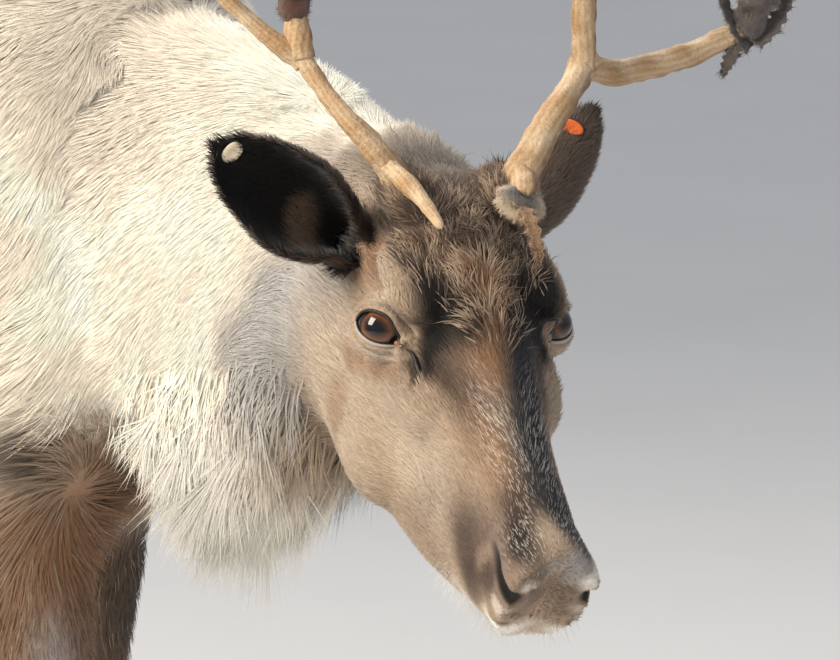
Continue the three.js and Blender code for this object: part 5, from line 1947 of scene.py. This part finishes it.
def claw(shape, foot, half, colour):
    sides = 40
    angle = full_turn(sides)
    level = np.concatenate([[0, 0.02, 0.05], np.linspace(0.12, 0.92, 11), [0.97, 1.0]])
    long = along([0, 0.06, 0.45, 1], [0.97, 1.0, 0.92, 0.74], level)[:, None]
    wide = along([0, 0.06, 0.45, 1], [0.94, 1.0, 0.95, 0.84], level)[:, None]
    shift = along([0, 0.45, 1], [8, 3, -5], level)[:, None]
    growth = 1 + 0.012 * np.sin(level * 44)[:, None]
    ahead = np.cos(angle) * CLAW["length"] / 2 * long * growth + shift
    outer = np.where(np.sin(angle) > 0, 1, 0.45)
    across = np.sin(angle) * outer * CLAW["width"] * wide * growth / 1.45
    centre = CLAW["gap"] + CLAW["width"] * 0.45 / 1.45
    top = CLAW["front"] - 8 + CLAW["slope"] * ahead
    rings = np.stack([foot[0] + ahead, foot[1] + half * (centre + across), top * level[:, None]], axis=-1)
    shade = (0.8 + 0.35 * level)[:, None, None]
    points = rings if half > 0 else rings[:, ::-1]
    shape.tube(points, colour * shade)


def dewclaw(shape, foot, half, colour):
    place = np.array([foot[0] - DEWCLAW["behind"], foot[1] + half * DEWCLAW["apart"], DEWCLAW["height"]])
    root = place + mirrored(DEWCLAW["root"], half)
    tip = place + mirrored(DEWCLAW["tip"], half)
    middle = (root + tip) / 2 + [-3, half * 2, 2]
    radius = DEWCLAW["radius"]
    places, wide, t = through([root, middle, tip], [radius * 0.8, radius, radius * 0.45], 18)
    wide = wide * np.sqrt(np.maximum(1 - ease(t, 0.75, 1.02) ** 2, 0.05))
    growth = 1 + 0.02 * np.sin(t * 40)
    shape.tube(round_rings(places, wide * growth, 20, [0, 1, 0], 0.82), colour)


def trunk_side(side):
    def weight(points):
        free = (1 - head_share(points)) * (1 - neck_share(points)) * (1 - leg_share(points))
        return free * (side * points[:, 1] > 0)

    return weight


def neck_side(side, start, end):
    """Picks one side of a length of the neck."""

    def weight(points):
        t = neck_place(points)
        beside = side * (points[:, 1] - neck_point(t)[:, 1]) > 0
        return neck_share(points) * beside * (t >= start) * (t < end)

    return weight


def legs_only(points):
    return leg_share(points) * (1 - head_share(points)) * (0.6 + 0.4 * ease(-points[:, 2], -500, -120))


# Each piece of the coat: where it grows, its share of the tufts and of their length, their width and
# rise, and how many of them are dark
COATS = {
    "coat_trunk_right": (trunk_side(-1), 1, 1, 3.4, 7, 0.05),
    "coat_trunk_left": (trunk_side(1), 1, 1, 3.4, 7, 0.05),
    "coat_neck_front": (neck_side(-1, 0.55, 2), 1, 0.5, 1.6, 5, 0.05),
    "coat_neck_rear": (neck_side(-1, -1, 0.55), 1, 0.56, 1.9, 5.5, 0.05),
    "coat_neck_left": (neck_side(1, -1, 2), 1, 0.6, 2.4, 5.5, 0.05),
    "coat_legs": (legs_only, 0.8, 0.34, 2.2, 3.8, 0.1),
}


class REINDEER_OT_coat(bpy.types.Operator):
    """Sets the coat's tufts over trunk, neck and legs"""

    bl_idname = "reindeer.coat"
    bl_label = "Coat of the body"

    def execute(self, context):
        settings = context.scene.reindeer_coat
        skin = bpy.data.objects["skin"]
        for name, (weight, share, length, width, rise, dark_share) in COATS.items():
            tufts = Tufts(skin, weight, int(settings.tufts * share), len(name) * 7)
            depth = coat_depth(tufts.roots) / DEPTH["body"]
            lengths = (0.45 + 0.55 * depth) * tufts.between(0.75, 1.2)
            if weight is legs_only:
                lengths = tufts.between(0.7, 1.3)
                depth = np.ones(tufts.count)
            lengths = lengths * settings.length * 1000 * length
            widths = width * tufts.between(0.7, 1.3) * (0.6 + 0.4 * depth)
            colours = tufts.varied(coat_colour(tufts.roots), 0.1, dark_share, settings.tones()["dun"])
            slot = "leg_coat" if weight is legs_only else "coat"
            lies = coat_lie(tufts.roots, tufts.normals)
            rises = rise * depth
            tufts.grow(name, slot, lies, lengths, widths, rises, colours, sway=0, root_shade_and_pale_tip=(0.86, 1.05))
        return {"FINISHED"}


class REINDEER_OT_face(bpy.types.Operator):
    """Sets the short fur of the face, the forehead's long hair, the whiskers and the coat of the ears"""

    bl_idname = "reindeer.face"
    bl_label = "Fur of the head"

    def execute(self, context):
        settings = context.scene.reindeer_coat
        skin = bpy.data.objects["skin"]
        tones = settings.tones()
        short = settings.face_length * 1000
        face_fur(skin, "fur_face_right", face_side(-1), settings.tufts, short, tones)
        face_fur(skin, "fur_face_left", face_side(1), settings.tufts, short, tones)
        forehead_hair(skin, tones)
        whiskers(skin, tones)
        for name, ear in EARS.items():
            ear_fur(bpy.data.objects[f"{name}_cup"], name, ear, tones)
        return {"FINISHED"}


def clear_of_openings(head):
    """0 in the eye's opening, the nostrils, the mouth and the gland's slit, 1 away from them."""
    opening, ball, depth, _, _ = by_eye(head)
    eye = (depth > 0) & (opening < 1.0) & (ball < 32)
    slit = gland_distance(head) < 1.0
    return 1.0 - (eye | slit | (nostril_distance(head) < 1.4) | (mouth_distance(head) < 1.4))


def face_side(side):
    def weight(points):
        head = into_head(points)
        beside = side * head[:, 1] > 0
        return head_share(points) * beside * clear_of_openings(folded(head))

    return weight


def face_fur(skin, name, weight, count, short, tones):
    tufts = Tufts(skin, weight, count, len(name) * 11)
    tufts.keep(clear_of_openings(folded(into_head(tufts.roots))) > 0)
    head = folded(into_head(tufts.roots))
    front = ease(head[:, 0], 60, 190)
    rear = ease(-head[:, 0], 20, 110)
    near_eye = 1 - ease(from_eye(head), 20, 42)
    near_nostril = 1 - ease(nostril_distance(head), 2, 8)
    near_slit = 1 - ease(gland_distance(head), 2, 7)
    short_hair = np.maximum.reduce([near_eye * 0.55, near_nostril * 0.6, near_slit * 0.6])
    size = (1 - 0.5 * front) * (1 + 1.1 * rear) * (1 - short_hair)
    lengths = short * size * tufts.between(0.7, 1.3)
    widths = (1.5 * (1 - 0.35 * front) + 0.6 * rear) * tufts.between(0.7, 1.3)
    colours = tufts.varied(coat_colour(tufts.roots), 0.13) * inner_shade(tufts.roots)[:, None] ** 0.8
    frost = np.maximum(spot(head, [125, 14, 4], [75, 14, 22]), spot(head, [184, 14, -16], [34, 22, 22]))
    colours = over(colours, frost * (tufts.between(0, 1) < 0.3) * 0.6, tones["pale"])
    lies = coat_lie(tufts.roots, tufts.normals)
    tufts.grow(name, "face_coat", lies, lengths, widths, 2.2 * size, colours, sunk=0.6, root_shade_and_pale_tip=(0.78, 1.1))


def whiskers(skin, tones):
    """A few long, pale hairs at the chin and the lower lip."""

    def weight(points):
        head = folded(into_head(points))
        chin = spot(head, [150, 24, -100], [50, 22, 16])
        return np.maximum(chin, spot(head, [196, 22, -80], [20, 14, 10]) * 0.7)

    tufts = Tufts(skin, weight, HAIRS["whiskers"], 4)
    lies = unit(tufts.normals + [0.2, 0, -0.7] + tufts.random.normal(0, 0.25, (tufts.count, 3)))
    lengths = tufts.between(5, 17)
    widths = np.full(tufts.count, 0.45)
    colours = np.tile(tones["white"], (tufts.count, 1))
    tufts.grow("hair_whiskers", "face_coat", lies, lengths, widths, 1.0, colours, 3, sway=0.2, droop=0.15)


# Where the long hair of the forehead grows: place, radii and strength, on both sides
FOREHEAD_ZONES = [
    ([-30, 0, 55], [62, 58, 30], 1.0),
    ([20, 0, 48], [46, 30, 26], 0.7),
    ([-95, 40, 20], [30, 40, 40], 0.6),
    ([-76, 62, 4], [24, 20, 26], 0.8),
]


def forehead_hair(skin, tones):
    """Long, tousled, pale-tipped hair between the brows and behind the eyes."""

    def weight(points):
        head = folded(into_head(points))
        zones = [spot(head, place, radii) * strength for place, radii, strength in FOREHEAD_ZONES]
        return np.max(zones, axis=0) * clear_of_openings(head)

    tufts = Tufts(skin, weight, HAIRS["forehead"], 3)
    roots, normals = tufts.roots, tufts.normals
    lies = laid(coat_lie(roots, normals) + wandering(roots, 24, SEED + 45) * 0.55, normals)
    lengths = tufts.between(10, 21)
    widths = tufts.between(0.8, 1.7)
    streaks = ease(ripple(roots, 17, SEED + 48), -0.2, 0.9)
    pale = np.clip(streaks * 0.6 + (tufts.between(0, 1) < 0.25) * 0.4, 0, 0.8)
    colours = over(tufts.varied(coat_colour(roots), 0.2), pale, tones["tan"])
    # Locks darker at the root as painted shade among them, and paler at the tip
    root_shade_and_pale_tip = (0.6, 1.35)
    tufts.grow("hair_forehead", "face_coat", lies, lengths, widths, 3.4, colours, 3, 0.22, root_shade_and_pale_tip=root_shade_and_pale_tip)


def ear_fur(cup, name, ear, tones):
    tufts = Tufts(cup, lambda points: clear_of_tag(name, points), HAIRS["ear"], 5 + ear["side"])
    ahead, _, _, root = ear_frame(ear)
    lies = laid(ahead @ HEAD_TURN.T + wandering(tufts.roots, 16, SEED + 40) * 0.3, tufts.normals)
    head = into_head(tufts.roots)
    inside = ear_inside(ear, head, tufts.normals)
    s = (head - root) @ ahead / EAR["length"]
    back, hollow = (tones[tone] * share for tone, share in (ear["back"], ear["hollow"]))
    colours = over(np.tile(back, (tufts.count, 1)), inside, hollow)
    if ear["side"] < 0:
        lobe = inside * spot(head, [-92, -84, 6], [24, 14, 20])
        colours = over(colours, lobe * 0.8, tones["leg"])
    else:
        colours = over(colours, ease(s, 0.86, 1.0) * 0.8, tones["dark"])
    colours = tufts.varied(colours, 0.16)
    lengths = (8 + 4 * (1 - ease(s, 0, 0.6))) * tufts.between(0.7, 1.3)
    widths = tufts.between(1.3, 2.2)
    tufts.grow(f"{name}_fur", "ear_coat", lies, lengths, widths, 3.0, colours, sunk=0.6)


def clear_of_tag(name, points):
    tag = next(tag for tag in TAGS.values() if tag["ear"] == name)
    far = np.linalg.norm(points - out_of_head(tag_place(tag)), axis=1)
    return ease(far, tag["plate"] + 2, tag["plate"] + 5)


def ear_inside(ear, head, normals):
    """1 on the hollow face of the ear, 0 on its back."""
    ahead, side, out, root = ear_frame(ear)
    offset = head - root
    radius, _ = ear_bend(ear, np.clip((offset @ ahead) / EAR["length"], 0, 1))
    away = (offset @ side)[:, None] * side + (offset @ out - radius)[:, None] * out
    facing = (unit(away) * (normals @ HEAD_TURN)).sum(axis=1)
    return (facing < 0).astype(float)


class REINDEER_OT_long_hair(bpy.types.Operator):
    """Sets the white locks of the beard and the hair of the tail"""

    bl_idname = "reindeer.long_hair"
    bl_label = "Beard and tail hair"

    def execute(self, context):
        settings = context.scene.reindeer_coat
        skin = bpy.data.objects["skin"]
        beard(skin, settings.beard_length * 1000, settings.tones())
        tail_hair(skin, settings.tones())
        return {"FINISHED"}


def beard_share(points):
    """How much of the beard grows at each point: along the underside of the neck."""
    t = neck_place(points)
    place, _, _, up = neck_frame(t)
    offset = unit(points - place)
    below = ease(-(offset * up).sum(axis=1), 0.42, 0.95)
    return below * ease(t, 0.4, 0.58) * (1 - ease(t, 0.93, 1.0)) * neck_share(points)


def beard(skin, long, tones):
    tufts = Tufts(skin, beard_share, HAIRS["beard"], 11)
    share = beard_share(tufts.roots)
    hanging = np.clip(-tufts.normals[:, 2], 0, 1) * 0.75
    lies = wandering(tufts.roots, 34, SEED + 12) * 0.2 + [-0.5, 0, -0.87]
    lies = laid(lies, tufts.normals, 1 - hanging)
    lengths = long * (0.5 + 0.5 * share) * tufts.between(0.6, 1.18)
    widths = tufts.between(0.9, 2.4)
    colours = over(coat_colour(tufts.roots), ease(share, 0.1, 0.8) * 0.9, tones["white"])
    colours = tufts.varied(colours, 0.09)
    bends = {"droop": 0.06, "curl": 0.12}
    tufts.grow("beard", "coat", lies, lengths, widths, 5.0, colours, 2, root_shade_and_pale_tip=(0.8, 1.1), **bends)


def tail_hair(skin, tones):
    def weight(points):
        near = chain_distance(TAIL["path"], TAIL["radius"], points)
        return (1 - ease(near, 4, 12)) * (points[:, 0] < TAIL["hair_from"])

    tufts = Tufts(skin, weight, HAIRS["tail"], 13)
    x, _, z = tufts.roots.T
    lies = laid(tufts.normals * 0.1 + [-0.25, 0, -0.95], tufts.normals, 0.8)
    lengths = tufts.between(24, 52) * np.clip((z - 700) / 150, 0.45, 1)
    widths = tufts.between(2.5, 5)
    colours = over(np.tile(tones["white"], (tufts.count, 1)), ease(-x, 540, 566) * 0.5, tones["dun"])
    tufts.grow("hair_tail", "tail_coat", lies, lengths, widths, 8.0, tufts.varied(colours, 0.1), 3)


# Stage


class REINDEER_OT_stage(bpy.types.Operator):
    """Sets the floor, the soft studio lights and the camera"""

    bl_idname = "reindeer.stage"
    bl_label = "Floor, lights and camera"

    def execute(self, context):
        settings = context.scene.reindeer_stage
        scene = context.scene
        scene.view_settings.view_transform = "Standard"
        studio_floor()
        right, view, up = view_axes()
        target = in_scene(VIEW["target"])
        place = target + (right * VIEW["right"] + up * VIEW["up"] - view * VIEW["distance"]) / 1000
        data = bpy.data.cameras.new("photo_view")
        data.lens = VIEW["lens"]
        data.sensor_width = VIEW["sensor"]
        camera = bpy.data.objects.new("photo_view", data)
        camera.matrix_world = placed(place, right, up, -view)
        scene.collection.objects.link(camera)
        scene.camera = camera
        world = bpy.data.worlds.new("studio")
        world.use_nodes = True
        background = world.node_tree.nodes["Background"]
        background.inputs["Color"].default_value = (*linear(settings.backdrop), 1)
        background.inputs["Strength"].default_value = 0.6
        scene.world = world
        for name, (offset, size, setting, share, colour) in LIGHTS.items():
            place = target + np.array(offset) @ [right, up, view]
            soft_light(name, place, target, size, getattr(settings, setting) * share, colour)
        return {"FINISHED"}


def view_axes():
    azimuth = math.radians(VIEW["azimuth"])
    elevation = math.radians(VIEW["elevation"])
    right = np.array([math.cos(azimuth), math.sin(azimuth), 0])
    away = np.array([-math.sin(azimuth), math.cos(azimuth), 0])
    upright = np.array([0, 0, 1.0])
    view = away * math.cos(elevation) - upright * math.sin(elevation)
    up = away * math.sin(elevation) + upright * math.cos(elevation)
    return right, view, up


def placed(place, across, up, back):
    """A matrix that puts an object at a place, with its own directions turned to the given ones."""
    turn = np.stack([across, up, back]).T
    return Matrix.Translation(place) @ Matrix(turn.tolist()).to_4x4()


def studio_floor():
    """A wide, level floor, finer under the animal."""
    lines = np.concatenate([[-40, -20, -10, -5], np.linspace(-3, 3, 13), [5, 10, 20, 40]])
    x, y = np.meshgrid(lines, lines, indexing="ij")
    points = np.stack([x, y, np.zeros_like(x)], axis=-1).reshape(-1, 3)
    mesh = bpy.data.meshes.new("studio_floor")
    quads = grid_faces(len(lines), len(lines), False)[:, ::-1]
    mesh.from_pydata(points.tolist(), [], quads.tolist())
    mesh.materials.append(material("studio_floor", floor_finish))
    floor = bpy.data.objects.new("studio_floor", mesh)
    bpy.context.scene.collection.objects.link(floor)


def soft_light(name, place, target, size, power, colour):
    data = bpy.data.lights.new(name, "AREA")
    data.size = size
    data.energy = power
    data.color = colour
    lamp = bpy.data.objects.new(name, data)
    back = unit(np.asarray(place) - target)
    across = unit(np.cross([0, 0, 1], back))
    lamp.matrix_world = placed(place, across, np.cross(back, across), back)
    bpy.context.scene.collection.objects.link(lamp)


# Add-on


PIECES = (
    REINDEER_OT_skin,
    REINDEER_OT_eyes,
    REINDEER_OT_ears,
    REINDEER_OT_tags,
    REINDEER_OT_antlers,
    REINDEER_OT_velvet,
    REINDEER_OT_hooves,
    REINDEER_OT_coat,
    REINDEER_OT_face,
    REINDEER_OT_long_hair,
    REINDEER_OT_stage,
)
SETTINGS = {
    "reindeer_coat": CoatSettings,
    "reindeer_antlers": AntlerSettings,
    "reindeer_face": FaceSettings,
    "reindeer_stage": StageSettings,
}


class REINDEER_PT_panel(bpy.types.Panel):
    """Lists the pieces and their settings"""

    bl_idname = "REINDEER_PT_panel"
    bl_label = "Reindeer"
    bl_space_type = "VIEW_3D"
    bl_region_type = "UI"
    bl_category = "Reindeer"

    def draw(self, context):
        for piece in PIECES:
            self.layout.operator(piece.bl_idname)
        for name, group in SETTINGS.items():
            box = self.layout.box()
            for setting in group.__annotations__:
                box.prop(getattr(context.scene, name), setting)


def register():
    for group in SETTINGS.values():
        bpy.utils.register_class(group)
    for piece in (*PIECES, REINDEER_PT_panel):
        bpy.utils.register_class(piece)
    for name, group in SETTINGS.items():
        setattr(bpy.types.Scene, name, PointerProperty(type=group))


def unregister():
    for name in SETTINGS:
        delattr(bpy.types.Scene, name)
    for piece in (REINDEER_PT_panel, *reversed(PIECES)):
        bpy.utils.unregister_class(piece)
    for group in SETTINGS.values():
        bpy.utils.unregister_class(group)


def main():
    register()
    for piece in PIECES:
        family, name = piece.bl_idname.split(".")
        getattr(getattr(bpy.ops, family), name)()


if __name__ == "__main__":
    main()
